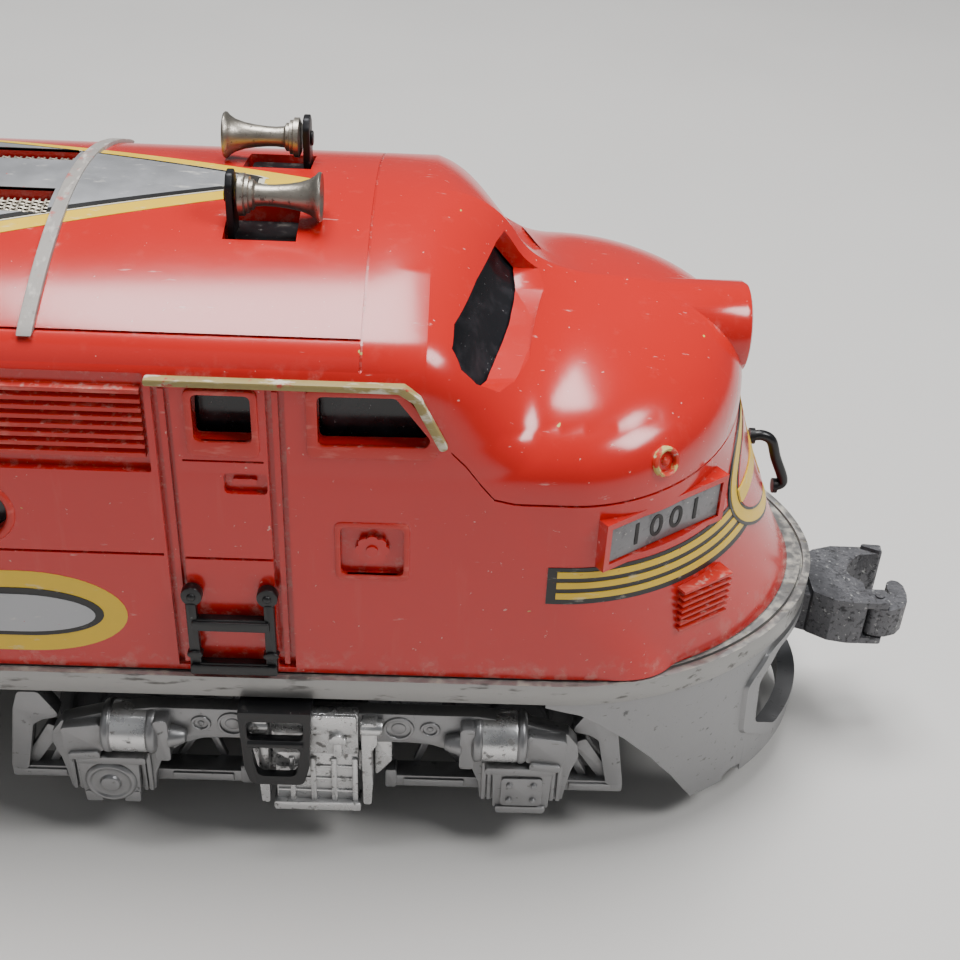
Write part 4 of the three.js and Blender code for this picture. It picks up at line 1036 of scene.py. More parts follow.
    def build_shell(self) -> None:
        """Cuts and joins the whole shell, and puts it in place of the CAD shell."""
        obj = raw_object("body_shell_moulding", [FORM.skin()])
        lamp = lathe([(0, CAB + 42), (self.lamp_radius, CAB + 42), (self.lamp_radius, 135.9),
                      (self.lamp_radius - 0.35, 136.6), (self.lamp_radius - 0.8, 136.8), (0, 136.8)], "x",
                     (0, 0, self.lamp_z), 64)
        pads = both([self.board_slab(-2.5, 2.0, 1.0)])
        combine(obj, Cut.JOIN, [lamp, *pads])
        combine(obj, Cut.AWAY, [FORM.skin(self.wall, BODY_REAR + self.wall, SHELL_BOTTOM - 1, 48, 24)])
        bosses = [rod((x, 0, SHELL_BOTTOM), (x, 0, 42), 3) for x in BOLT_XS]
        combine(obj, Cut.JOIN, [*both([self.recess(HORN_TAB, 81.7, 84.6, 1.5)]), *bosses])
        hole = [rod((x, 0, 30), (x, 0, 39), self.screw_radius) for x in BOLT_XS]
        bore = [rod((CAB + 30, 0, self.lamp_z), (138, 0, self.lamp_z), self.lamp_radius - 1.2, 48)]
        windows = both([self.board_slab(0.7, 4, 0.12)])
        combine(obj, Cut.AWAY, [*both(self.side_cuts()), *bore, *hole, *windows])
        combine(obj, Cut.JOIN, [*both(self.side_raised()), *self.rear_end()])
        hood_seam = ((CAB + 26, -40, 60.15), (CAB + 90, 40, 60.5))
        roof_seam = ((86.3, -40, 77.5), (86.62, 40, 95))
        left_seam = ((BODY_REAR + 4, 20, 79.9), (86.3, 40, 80.2))
        right_seam = ((BODY_REAR + 4, -40, 79.9), (86.3, -20, 80.2))
        for low, high in (hood_seam, roof_seam, left_seam, right_seam):
            combine(obj, Cut.AWAY, [self.band(0.6, 0.28, low, high)])
        FORM.settle_normals(obj)
        dressed(obj, RED)
        place(obj, "chassis", "red_plastic", "body_shell")

    def rear_end(self) -> list[Shape]:
        """Returns the raised door, frame and buffer plate of the flat rear end."""
        x = BODY_REAR
        door = prism("x", rounded(rectangle(-8, 33, 8, 76), 1.2), x - 1.2, x + 0.5)
        edge = [prism("x", rounded(rectangle(y - 0.9, 33, y + 0.9, 79), 0.5), x - 2.2, x + 0.5)
                for y in (-11, 11)]
        head = prism("x", rounded(rectangle(-12, 77.2, 12, 79), 0.5), x - 2.2, x + 0.5)
        rails = [prism("x", rounded(rectangle(y - 0.5, 40, y + 0.5, 62), 0.3), x - 1.5, x + 0.5)
                 for y in (-18, 18)]
        return [door, *edge, head, *rails]

    def build_trim(self) -> None:
        """Builds the rims, slats, rails, strap and lamp bezels that are moulded on the shell."""
        face = FORM.half_width
        rims = both(self.frames())
        for x in self.porthole_xs:
            section = [(3.9, -0.6), (5.0, -0.6), (5.0, 0.2), (4.7, 0.45), (4.2, 0.45), (3.9, 0.15)]
            rims += both([ring_profile(section, "y", (x, face, self.porthole_z))])
        trim = make("window_rims", rims, RED_TRIM, 0.1)
        place(trim, "chassis", "red_plastic")
        slats = []
        for side, sign in SIDES:
            for i, (rear, front) in enumerate(self.panel_bays()):
                profile = [(0, 0.0), (0.95, 0.18), (0.95, 0.72), (0, 0.98)]
                unit = prism("x", [(sign * (face - 1.0 + y), z) for y, z in profile],
                             rear + 0.5, front - 0.5)
                slats.append(row(f"louvre_{side}_{i}", unit, (0, 0, self.louvre_bottom + 1.9), (0, 0, 1.25),
                                 8, RED_TRIM))
        place(merged("side_louvres", slats), "chassis", "red_plastic")
        place(make("nose_grilles", both(self.nose_panel()), RED_TRIM, 0.08), "chassis", "red_plastic")
        rail = [(-18.2, 75.75), (10.9, 75.75), (12.6, 74.6), (15.9, 68.0), (16.9, 68.4), (13.5, 75.2),
                (11.6, 76.65), (-18.2, 76.65)]
        rails = make("drip_rails", both([prism("y", cab(rounded(rail, 0.5)), face - 0.6, face + 0.7)]),
                     WORN_RAIL, 0.18)
        place(rails, "chassis", "red_plastic")
        strap = self.band(0.5, 0.3, (47.2, -40, 79.9), (49.0, 40, 95))
        soften(strap, 0.15)
        place(named(dressed(FORM.settle_normals(strap), STRAP), "roof_strap"), "chassis", "red_plastic")
        bezels = []
        spot = np.array([CAB + self.marker[0], self.marker[1], self.marker[2]])
        out = Vector(FORM.normal(spot[None])[0])
        turn = np.array(out.to_track_quat("Z", "Y").to_matrix())
        base = spot - np.array(out) * FORM.value(spot[None])[0]
        section = [(1.3, -0.9), (1.95, -0.9), (1.95, 0.35), (1.7, 0.6), (1.4, 0.45), (1.3, 0.1)]
        for shape in (ring_profile(section, "z", (0, 0, 0)),
                      lathe([(0, -0.8), (0.55, -0.8), (0.55, 0.1), (0.3, 0.4), (0, 0.45)], "z", sides=20)):
            bezels += both([Shape(shape.points @ turn.T + base, shape.faces)])
        place(make("marker_lights", bezels, WORN_MARKER), "chassis", "red_plastic")




def named(obj: bpy.types.Object, name: str) -> bpy.types.Object:
    """Renames an object and its mesh."""
    obj.name = obj.data.name = name
    return obj


@dataclass
class Printing:
    """The printed stripes, the side band, the roof arrow and the nose shield, as thin raised films."""

    thickness: float = 0.07
    side_bulge: float = 0.13  # how far the blended side stands past its nominal half width
    shield_low: float = 41.4
    shield_high: float = 60.0
    shield_half: float = 17.5

    def on_form(self, name: str, tool: Shape, level: int, ink: Finish,
                holes: Iterable[Shape] = ()) -> bpy.types.Object:
        """Returns the film that covers the part of the body inside a tool solid.

        Args:
            name: the film's name.
            tool: the solid that bounds it.
            level: 1 for ink straight on the body, 2 for ink on that, and so on.
            ink: what it is printed with.
            holes: solids where there is no film.
        """
        obj = raw_object(name, [FORM.skin(-self.thickness * level, rear=BODY_REAR + 0.05,
                                          bottom=SHELL_BOTTOM + 0.2)])
        combine(obj, Cut.WITHIN, [tool])
        combine(obj, Cut.AWAY, [FORM.skin(0.12, rear=BODY_REAR - 2, bottom=20, headings=60, lifts=32),
                                *holes])
        return dressed(FORM.settle_normals(obj), ink)

    def arrow(self, inset: float) -> list[tuple[float, float]]:
        """Returns the roof arrow's outline in plan, moved in from its yellow edge."""
        tip, slope, widest = CAB + 0.5 - inset * 2.6, 0.34, 19.0 - inset
        turn = CAB + 4.5 - (widest + inset) / slope
        reach = tip - 2.4 - (widest - 1.6) / slope
        side = rounded([(tip - 0.7, 0.75), (tip - 2.4, 1.6 + inset * 0.05), (max(reach, turn - 30), widest),
                        (BODY_REAR + 0.6, widest)], 1.2)
        return side + [(x, -y) for x, y in reversed(side)]

    def build_roof(self, shell: BodyShell) -> None:
        """Prints the roof arrow: yellow edge, black line and silver field."""
        holes = both([shell.recess(SCREEN, 70, 95), shell.recess(HORN_TAB, 70, 95)])
        layers = ((0.0, YELLOW), (2.6, PALE), (2.9, PRINT_BLACK), (3.8, PRINT_SILVER))
        films = [self.on_form(f"roof_ink_{i}", prism("z", self.arrow(inset), 78, 95), i + 1, ink, holes)
                 for i, (inset, ink) in enumerate(layers)]
        place(merged("roof_arrow_print", films), "chassis", "red_plastic")

    def build_sides(self) -> None:
        """Prints the long side bands with their pointed fronts."""
        face, rear = FORM.half_width, BODY_REAR + 0.6
        layers = ((34.6, 47.8, -36.5, -23.5, YELLOW), (37.2, 45.1, -37.0, -26.5, PRINT_BLACK),
                  (37.9, 44.1, -37.4, -27.6, PRINT_SILVER))
        films = []
        for i, (low, high, bend, tip, ink) in enumerate(layers):
            half, mid = (high - low) / 2, (high + low) / 2
            arc = [(CAB + bend + (tip - bend) * math.cos(a), mid + half * math.sin(a))
                   for a in np.linspace(-math.pi / 2, math.pi / 2, 24)]
            outline = [(rear, low), *arc, (rear, high)]
            shape = prism("y", outline, face - 0.2, face + self.side_bulge + self.thickness * (i + 1))
            films.append(make(f"side_ink_{i}", both([shape]), ink))
        place(merged("side_band_print", films), "chassis", "red_plastic")

    def build_nose(self) -> None:
        """Prints the striped bands round the nose and the plain shield on its tip."""
        start, low, high = CAB + 29.8, 45.1, 50.85
        films = [self.on_form("nose_ink_0", box((start, -60, low), (CAB + 90, 60, high)), 1, PRINT_BLACK)]
        stripe, pitch = 0.95, (high - low - 0.75) / 3
        for i in range(3):
            z = low + 0.85 + pitch * i
            line = box((start + 1.2, -60, z), (CAB + 90, 60, z + stripe))
            films.append(self.on_form(f"nose_ink_{i + 1}", line, 2, YELLOW))
        middle_z = (self.shield_low + self.shield_high) / 2
        half_height = (self.shield_high - self.shield_low) / 2
        for i, (inset, ink) in enumerate(((0.0, PRINT_BLACK), (0.5, YELLOW), (2.3, PRINT_BLACK),
                                          (2.7, RED))):
            full = oval((0, middle_z), (self.shield_half, half_height), 64)
            across, upright = 1 - inset / self.shield_half, 1 - inset / half_height
            outline = [(y * across, middle_z + (z - middle_z) * upright) for y, z in full]
            films.append(self.on_form(f"shield_ink_{i}", prism("x", outline, CAB + 40, CAB + 90), 3 + i,
                                      ink))
        for i, (half, wide) in enumerate(((5.6, 1.5), (1.1, self.shield_half - 2.4))):
            outline = rounded(rectangle(-wide, middle_z - half, wide, middle_z + half), 0.5, 4)
            films.append(self.on_form(f"cross_ink_{i}", prism("x", outline, CAB + 40, CAB + 90), 7 + i,
                                      YELLOW))
        place(merged("nose_print", films), "chassis", "red_plastic")


# ---------------------------------------------------------------- fittings on the body


@dataclass
class Fittings:
    """What is fixed to the shell: glazing, lamp, number boards, horns, screens, rail and steps."""

    horn_z: float = 89.4
    rail_y: float = 5.0
    digits: str = "1001"

    def build_glazing(self) -> None:
        """Dresses the flat glazing and bends the windshield panes to the form."""
        # the glazing is painted near-black for the shade inside the body
        for node in ("side_glazing_left", "side_glazing_right", "porthole_glazing_left",
                     "porthole_glazing_right"):
            dressed(frame["nodes"][node], GLAZING_PAINTED_DARK)
        for side, sign in SIDES:
            low, high = corners("windshield_left")
            pane = raw_object(f"windshield_pane_{side}", [FORM.skin(2.3, rear=60, bottom=60)])
            tools = [box(low - 0.01, high + 0.01)]
            combine(pane, Cut.AWAY, [FORM.skin(3.2, rear=58, bottom=58)])
            combine(pane, Cut.WITHIN, tools)
            shade(mirrored(pane, sign))
            # the pane is painted near-black for the shade behind it
            place(dressed(pane, GLAZING_PAINTED_DARK), "chassis", "clear_plastic", f"windshield_{side}")

    def build_lamp(self) -> None:
        """Builds the domed headlight lens, the bulb and its spring bracket."""
        low, high = corners("headlight_lens")
        z, r = middle("headlight_lens")[2], (high[2] - low[2]) / 2
        dome = [(0, low[0]), (r * 0.99, low[0]), (r, low[0] + 0.4), (r, high[0] - 0.7)]
        dome += [(r * math.cos(a), high[0] - 0.7 + 1.0 * math.sin(a))
                 for a in np.linspace(0.1, math.pi / 2, 8)]
        dome[-1] = (0, dome[-1][1])
        rings = [ring_profile([(q - 0.18, 0), (q + 0.18, 0), (q, 0.3)], "x",
                              (high[0] - 0.75 + math.sqrt(max(1 - (q / r) ** 2, 0)), 0, z), 48)
                 for q in (1.3, 2.5)]
        place(make("headlight_dome", [lathe(dome, "x", (0, 0, z), 48), *rings], LENS, angle=45),
              "chassis", "lens", "headlight_lens")
        glass = [(0, 0), (2.8, 0), (2.8, 0.5), (2.6, 0.8), (2.8, 1.1), (2.8, 1.9), (3.3, 2.8), (3.6, 4.2),
                 (3.45, 5.6), (2.8, 7.0), (1.6, 8.0), (0, 8.4)]
        start = float(corner("lamp_bulb", 0)[0])
        place(make("bulb", [lathe(glass, "x", (start, 0, z), 32)], LENS, angle=60), "chassis", "lens",
              "lamp_bulb")
        foot = corner("lamp_bracket", 0)
        strip = [box((foot[0], -4, foot[2]), (foot[0] + 6.2, 4, foot[2] + 1.2)),
                 box((foot[0] + 5, -4, foot[2]), (foot[0] + 6.2, 4, z - 2.7)),
                 rod((foot[0] + 4, 0, z), (foot[0] + 9, 0, z), 4.2, 32),
                 rod((foot[0] + 2, 0, foot[2] + 1.0), (foot[0] + 2, 0, foot[2] + 2.0), 1.6, 20)]
        place(make("lamp_spring_bracket", strip, BRASS, 0.25), "chassis", "brass", "lamp_bracket")

    def text(self, words: str, height: float) -> Shape:
        """Returns raised characters that stand on the XY plane, centred, reading along X."""
        data = bpy.data.curves.new("digits", "FONT")
        data.body, data.size, data.extrude = words, height * MM, 0.12 * MM
        data.align_x, data.align_y, data.space_character = "CENTER", "CENTER", 1.45
        data.offset = 0.05 * MM
        obj = bpy.data.objects.new("digits", data)
        bpy.context.scene.collection.objects.link(obj)
        mesh = bpy.data.meshes.new_from_object(obj.evaluated_get(bpy.context.evaluated_depsgraph_get()))
        points = np.array([list(v.co) for v in mesh.vertices]) / MM
        faces = [tuple(p.vertices) for p in mesh.polygons]
        bpy.data.objects.remove(obj)
        bpy.data.meshes.remove(mesh)
        return Shape(points, faces)

    def build_number_boards(self) -> None:
        """Builds each number plate with its printed digits."""
        for side, sign in SIDES:
            box_low, box_high = corners(f"number_board_{side}")
            rear, front = (Vector((CAB + x, sign * y, box_low[2])) for x, y in (BOARD_REAR, BOARD_FRONT))
            ahead = (front - rear).normalized()
            out = Vector((-ahead.y, ahead.x, 0)) * sign
            spots = [rear + out * 1.05, front + out * 1.05, front + out * 1.75, rear + out * 1.75]
            plate = make(f"plate_{side}", [prism("z", [(s.x, s.y) for s in spots], box_low[2], box_high[2])],
                         PLATE, 0.15)
            letters = self.text(self.digits, 4.6)
            reading = ahead * -sign
            centre = (rear + front) / 2 + out * 1.72 + Vector((0, 0, (box_high[2] - box_low[2]) / 2))
            turn = np.array(Matrix((reading, Vector((0, 0, 1)), out)).transposed())
            ink = make(f"digits_{side}", [Shape(letters.points @ turn.T + np.array(centre), letters.faces)],
                       INK)
            place(merged(f"number_plate_{side}", [plate, ink]), "chassis", "number_plate",
                  f"number_board_{side}")

    def build_horns(self) -> None:
        """Builds the two horns, each with a stepped collar, a throat and a flared bell, on pressed tabs."""
        profile = [(0, 0), (1.9, 0), (2.2, 0.15), (2.6, 0.3), (2.6, 0.95), (2.25, 1.1), (2.25, 1.5),
                   (1.85, 1.6), (1.85, 2.0), (1.4, 2.3), (1.3, 3.4), (1.33, 4.6), (1.5, 6.2), (1.75, 7.6),
                   (2.15, 8.8), (2.6, 9.5), (3.0, 9.85), (3.05, 10.1), (2.9, 10.3), (2.65, 10.2),
                   (2.1, 9.5), (1.5, 8.4), (1.0, 6.8), (0, 6.2)]
        for side, sign in SIDES:
            low, high = corners(f"horn_{side}")
            facing = -sign
            start = low[0] if facing > 0 else high[0]
            y = middle(f"horn_{side}")[1]
            points = [(r, facing * s) for r, s in profile]
            body = lathe(points, "x", (start, y, self.horn_z), 40)
            place(make(f"horn_trumpet_{side}", [body], HORN_METAL, angle=40), "chassis", "horn_metal",
                  f"horn_{side}")
            low, high = corners(f"horn_bracket_{side}")
            x = low[0] if facing > 0 else high[0] - 0.9
            tab = rounded([(y - 2, low[2] + 0.4), (y + 2, low[2] + 0.4), (y + 2, 91.2), (y + 0.9, 92.4),
                           (y - 0.9, 92.4), (y - 2, 91.2)], 0.9)
            foot = rounded(rectangle(low[0], low[1], high[0], high[1]), 0.8)
            stem = rod((x - 0.35 if facing > 0 else x + 0.9, y, self.horn_z),
                       (x if facing > 0 else x + 1.25, y, self.horn_z), 1.0, 20)
            shapes = [prism("x", tab, x, x + 0.9), prism("z", foot, low[2], low[2] + 0.8), stem]
            bracket = make(f"horn_tab_{side}", shapes, BLACK_STEEL, 0.15)
            place(bracket, "chassis", "black_steel", f"horn_bracket_{side}")

    def build_screens(self) -> None:
        """Weaves the wire roof screens, one set of wires over and under the other."""
        for side, sign in SIDES:
            low, high = corners(f"roof_screen_{side}")
            pitch, thick, wave = 0.78, 0.17, 0.1
            y0, y1 = low[1], high[1]
            edge = max(abs(y0), abs(y1))
            base = math.sqrt((FORM.roof_radius - 1.3) ** 2 - edge ** 2) + FORM.roof_top - FORM.roof_radius

            def settle_on_roof(p: np.ndarray) -> np.ndarray:
                """Returns the points lifted to follow the roof's curve."""
                p[:, 2] += np.sqrt((FORM.roof_radius - 1.3) ** 2 - p[:, 1] ** 2) \
                    + FORM.roof_top - FORM.roof_radius - base
                return p

            along = self.wire(high[0] - low[0], pitch, thick, wave)
            across = self.wire(y1 - y0, pitch, thick, wave).turned("z", 90).moved(0, 0, 0.02)
            count_y, count_x = int((y1 - y0) / pitch), int((high[0] - low[0]) / pitch)
            long_wires = row(f"long_{side}", along, (low[0], y0 + pitch / 2, base), (0, pitch, 0), count_y,
                             WIRE)
            short_wires = row(f"short_{side}", across, (low[0] + pitch / 2, y0, base), (pitch, 0, 0),
                              count_x, WIRE)
            tray = make(f"tray_{side}", [box((low[0], y0, base - 0.6), (high[0], y1, base - 0.35))],
                        BLACK_STEEL, 0.05)
            screen = merged(f"roof_mesh_{side}", [long_wires, short_wires, tray])
            points = np.empty(len(screen.data.vertices) * 3)
            screen.data.vertices.foreach_get("co", points)
            bent = settle_on_roof(points.reshape(-1, 3) / MM) * MM
            screen.data.vertices.foreach_set("co", bent.ravel())
            screen.data.update()
            place(shade(screen, 60), "chassis", "wire_mesh", f"roof_screen_{side}")

    def wire(self, length: float, pitch: float, radius: float, wave: float) -> Shape:
        """Returns one crimped wire along X that starts at the origin."""
        steps = max(int(length / pitch) * 2, 4)
        sides = 5
        points, faces = [], []
        for i in range(steps + 1):
            x = length * i / steps
            z = wave * math.cos(math.pi * x / pitch)
            for k in range(sides):
                a = 2 * math.pi * k / sides
                points.append((x, radius * math.cos(a), z + radius * math.sin(a)))
        for i in range(steps):
            for k in range(sides):
                j = (k + 1) % sides
                faces.append((i * sides + k, (i + 1) * sides + k, (i + 1) * sides + j, i * sides + j))
        last = steps * sides
        faces += [tuple(range(sides)), tuple(reversed(range(last, last + sides)))]
        return Shape(np.array(points), faces).inside_out()

    def build_rail(self) -> None:
        """Builds the bent grab rail with its two feet."""
        y = self.rail_y
        low, high = corners("nose_grab_rail")
        top, bottom = high[2] - 0.75, low[2] + 0.75
        path = [(CAB + 61.8, y, top - 0.1), (CAB + 63.4, y, top + 0.05), (CAB + 64.9, y, top - 0.9),
                (CAB + 66.0, y, (top + bottom) / 2 + 0.6), (CAB + 67.5, y, bottom + 1.7),
                (CAB + 67.6, y, bottom + 0.5), (CAB + 66.7, y, bottom)]
        rail = tube(path, 0.8, 16, 8)
        feet = [rod((CAB + 61.4, y, top - 0.1), (CAB + 62.2, y, top - 0.1), 1.2, 20),
                rod((CAB + 66.2, y, bottom), (CAB + 66.9, y, bottom), 1.15, 20)]
        place(make("nose_rail", [rail, *feet], BLACK, angle=60), "chassis", "black_plastic",
              "nose_grab_rail")

    def build_door_steps(self) -> None:
        """Builds the black ladder under each cab door: two bent rails with eyes, two rungs and rivets."""
        for side, sign in SIDES:
            low, high = corners(f"door_step_{side}")
            near = FORM.half_width + 0.35
            left, right, bottom = low[0], high[0], low[2]
            shapes = []
            for x, turn in ((left + 0.75, 1), (right - 0.75, -1)):
                shapes.append(prism("y", rounded([(x - 0.75, bottom + 0.3), (x + 0.75, bottom + 0.3),
                                                  (x + 0.65, 44.6), (x - 0.65, 44.6)], 0.4), near + 0.4,
                                    near + 1.45))
                shapes.append(prism("y", oval((x + 0.15 * turn, 45.6), (1.35, 1.45), 24), near, near + 1.35))
                shapes.append(lathe([(0, near + 1.2), (0.62, near + 1.2), (0.55, near + 1.6),
                                     (0, near + 1.75)], "y", (x + 0.15 * turn, 0, 45.6), 20))
                shapes.append(prism("y", oval((x, 36.2), (1.05, 0.6), 16), near + 0.5, near + 1.75))
            for z, reach in ((bottom, 0.0), (40.4, 0.7)):
                shapes.append(prism("y", rounded(rectangle(left + reach, z, right - reach, z + 1.5), 0.35),
                                    near + 0.3, near + 1.85))
                shapes.append(box((left + 1.2, near + 0.3, z + 1.1), (right - 1.2, near + 1.55, z + 1.75)))
            shapes = [s.on_side(sign) for s in shapes]
            place(make(f"door_ladder_{side}", shapes, BLACK, 0.18), "chassis", "black_plastic",
                  f"door_step_{side}")

    def build(self) -> None:
        """Builds every fitting."""
        self.build_glazing()
        self.build_lamp()
        self.build_number_boards()
        self.build_horns()
        self.build_screens()
        self.build_rail()
        self.build_door_steps()


# ---------------------------------------------------------------- underframe


@dataclass
class Underframe:
    """The silver floor plate, the pilot, the tank, the screws and the reversing unit."""

    plan_power: float = 2 / 1.9
    opening: tuple = ((-20.6, 14), (-16, 9.5), (16, 9.5), (20.6, 14), (20.6, 22), (17, 25.6), (-17, 25.6),
                      (-20.6, 22))
    arch: tuple = ((20, 2), (54.4, 2), (54.2, 4.8), (52.6, 7.2), (50.2, 11.1), (46.6, 16), (42.5, 20.6),
                   (38.7, 24), (35.8, 26), (31, 27.4), (20, 27.4))

    def plan(self, rear: float, tip: float, half_width: float, steps: int = 72) -> list[tuple[float, float]]:
        """Returns the nose-ended outline in plan, from the rear left corner round to the rear right."""
        points = [(rear, half_width)]
        start = FORM.hood_start
        for i in range(2 * steps + 1):
            angle = math.pi / 2 - math.pi * i / (2 * steps)
            along = math.cos(angle) ** self.plan_power if abs(angle) < math.pi / 2 - 1e-9 else 0.0
            across = math.copysign(abs(math.sin(angle)) ** self.plan_power, angle)
            points.append((start + (tip - start) * along, half_width * across))
        points.append((rear, -half_width))
        return points

    def build_plate(self) -> None:
        """Builds the floor plate, whose ledge shows round the body."""
        low, high = corners("chassis_frame")
        plate = raw_object("floor_plate", [prism("z", self.plan(low[0], high[0], high[1]), FRAME_BOTTOM,
                                                 FRAME_TOP)])
        lip = prism("z", self.plan(low[0] + 1, high[0] - 1.1, high[1] - 1.1), FRAME_TOP - 0.7, FRAME_TOP + 1)
        combine(plate, Cut.AWAY, [lip])
        inner = prism("z", self.plan(low[0] + 1, high[0] - 1.5, high[1] - 1.5), FRAME_TOP - 0.9, FRAME_TOP)
        combine(plate, Cut.JOIN, [inner])
        cuts = [box((42, -19.5, 20), (75, 19.5, 40)), box((23, -2.6, 20), (36, 2.6, 40))]
        holes = ((CAB, 2.9), (REAR_TRUCK, 2.8), *((x, 1.9) for x in BOLT_XS))
        cuts += [rod((x, 0, 20), (x, 0, 40), r, 32) for x, r in holes]
        combine(plate, Cut.AWAY, cuts)
        soften(plate, 0.3)
        shade(plate, 40)
        place(dressed(plate, SILVER_LEDGE), "chassis", "silver_paint", "chassis_frame")

    def pilot_block(self, inset: float, rear: float, low: float, high: float) -> Shape:
        """Returns the pilot's outer form, which leans forward a little towards the bottom."""
        top = corner("front_pilot", 1)[2]
        rings = []
        for z in (low, high):
            tip = CAB + 71.4 + 0.08 * (top - z) - inset
            rings.append([(x, y, z) for x, y in self.plan(rear, tip, 32.8 - inset)])
        n = len(rings[0])
        faces = [tuple(range(n)), tuple(reversed(range(n, 2 * n)))]
        faces += [((i + 1) % n, i, n + i, n + (i + 1) % n) for i in range(n)]
        return Shape(np.array(rings[0] + rings[1]), [tuple(f) for f in faces])

    def build_pilot(self) -> None:
        """Builds the pilot with its rimmed coupler opening, its arches and its side bites."""
        low, high = corner("front_pilot", 0)[2], corner("front_pilot", 1)[2]
        obj = raw_object("pilot_casting", [self.pilot_block(0, CAB + 31, low, high)])
        swollen = [(y * 1.09, 17.6 + (z - 17.6) * 1.14) for y, z in self.opening]
        rim_outer = prism("x", rounded(swollen, 3, 6), CAB + 50, CAB + 90)
        combine(obj, Cut.AWAY, [self.pilot_block(2.2, CAB + 29, low - 1, high - 2)])
        rim = raw_object("rim", [self.pilot_block(-0.5, CAB + 31, low + 1, high - 0.4)])
        combine(rim, Cut.WITHIN, [rim_outer])
        combine(rim, Cut.AWAY, [self.pilot_block(1.8, CAB + 29, low - 1, high)])
        combine(obj, Cut.JOIN, [rim])
        arch = cab(rounded(self.arch, 2.5, 4))
        bite = rod((CAB + 40, 22.6, low + 0.2), (CAB + 62, 22.6, low + 0.2), 1.4, 24)
        combine(obj, Cut.AWAY, [prism("x", rounded(self.opening, 2.2, 6), CAB + 50, CAB + 90),
                                prism("y", arch, -40, 40), box((CAB + 20, -24, 20), (CAB + 52, 24, 40)),
                                rod((BOLT_XS[0], 0, 20), (BOLT_XS[0], 0, 40), 1.9, 32), bite,
                                bite.flipped()])
        combine(obj, Cut.WITHIN, [self.pilot_block(-0.5, CAB + 30, low, high)])
        soften(obj, 0.3)
        shade(obj, 40)
        place(dressed(obj, SILVER), "chassis", "silver_paint", "front_pilot")

    def build_tank(self) -> None:
        """Builds the fuel tank with its end plates, seams, filler caps and strap ribs."""
        low, high = corners("fuel_tank")
        outline = [(-27, 13), (-24, 8.5), (24, 8.5), (27, 13), (27, high[2]), (-27, high[2])]
        body = prism("x", rounded(outline, 1.6, 5), low[0], high[0])
        ends = [prism("x", rounded([(y * 1.012, z) for y, z in outline], 1.6, 5), x, x + 1.4)
                for x in (low[0], low[0] + 19.6, high[0] - 21, high[0] - 1.4)]
        caps = both([lathe([(0, 26.5), (2.2, 26.5), (2.2, 27.6), (1.7, 27.9), (0, 27.9)], "y",
                           (x, 0, 22), 28) for x in (low[0] + 10, high[0] - 10)])
        gauges = both([prism("y", rounded(rectangle(x - 1.2, 14.5, x + 1.2, 20.5), 0.6),
                             26.5, 27.5) for x in (middle("fuel_tank")[0],)])
        tank = make("fuel_tank_casting", [body, *ends, *caps, *gauges], SILVER, 0.3, 30)
        rivets = []
        for side, sign in SIDES:
            unit = lathe([(0, 0), (0.45, 0), (0.4, 0.25), (0, 0.38)], "y", sides=12).on_side(sign)
            rivets.append(row(f"tank_rivets_{side}", unit, (low[0] + 2.6, sign * 27.0, 26.2), (2.35, 0, 0),
                              24, SILVER))
        place(merged("fuel_tank_shell", [tank, *rivets]), "chassis", "silver_paint", "fuel_tank")

    def screw(self, name: str, x: float, radius: float, node: str, slot: str, finish: Finish,
              up: bool = False) -> None:
        """Builds a domed slotted screw in place of its CAD node, with its head at the bottom or the top."""
        low, high = corner(node, 0)[2], corner(node, 1)[2]
        sign = 1 if up else -1
        head = high if up else low
        far = low if up else high
        profile = [(0, far), (radius * 0.5, far), (radius * 0.5, head - sign * 1.9),
                   (radius, head - sign * 1.8), (radius, head - sign * 0.9),
                   (radius * 0.8, head - sign * 0.3), (radius * 0.4, head), (0, head)]
        obj = raw_object(name, [lathe(profile, "z", (x, 0, 0), 36)])
        slot_cut = box((x - radius - 1, -0.35, head - 0.8), (x + radius + 1, 0.35, head + 0.8))
        combine(obj, Cut.AWAY, [slot_cut])
        place(dressed(shade(obj), finish), "chassis", slot, node)

    def build_reverser(self) -> None:
        """Builds the reversing unit: a wound coil between brown cheeks, on a steel foot with two arms."""
        low, high = corners("reversing_unit")
        coil = [(0, low[2] + 1)]
        for i in range(24):
            z = low[2] + 2 + i * 0.55
            coil += [(7.6, z), (7.85, z + 0.27)]
        coil += [(7.6, coil[-1][1] + 0.28), (0, coil[-1][1] + 0.28)]
        x = -1.0
        winding = make("coil", [lathe(coil, "z", (x, 0, 0), 40)], COPPER)
        cheeks = make("cheeks", [box((low[0], -10, low[2]), (low[0] + 26, 10, low[2] + 1.5)),
                                 prism("z", rounded(rectangle(-10, -8, 8, 8), 1.5), high[2] - 3, high[2])],
                      PHENOLIC, 0.2)
        arms = []
        for y in (2.2, -2.2):
            outline = rounded([(11, low[2]), (14, low[2]), (high[0] - 3, 34), (high[0] - 0.2, 34),
                               (high[0] - 0.2, 40), (high[0] - 5, 40), (11, low[2] + 5)], 0.8)
            arms.append(prism("y", outline, y - 0.55, y + 0.55))
        arms.append(rod((29, -2.7, 37), (29, 2.7, 37), 1.0, 20))
        steel = make("arms", arms, BLACK_STEEL, 0.15)
        place(merged("reversing_solenoid", [winding, cheeks, steel]), "chassis", "phenolic",
              "reversing_unit")
        spot = middle("reversing_lever")
        z0, z1 = corner("reversing_lever", 0)[2], 37.0
        blade = rounded(rectangle(spot[0] - 1.4, z0 + 2, spot[0] + 1.4, z1), 0.5)
        lever = raw_object("reverse_lever_arm", [prism("y", blade, -0.9, 0.9)])
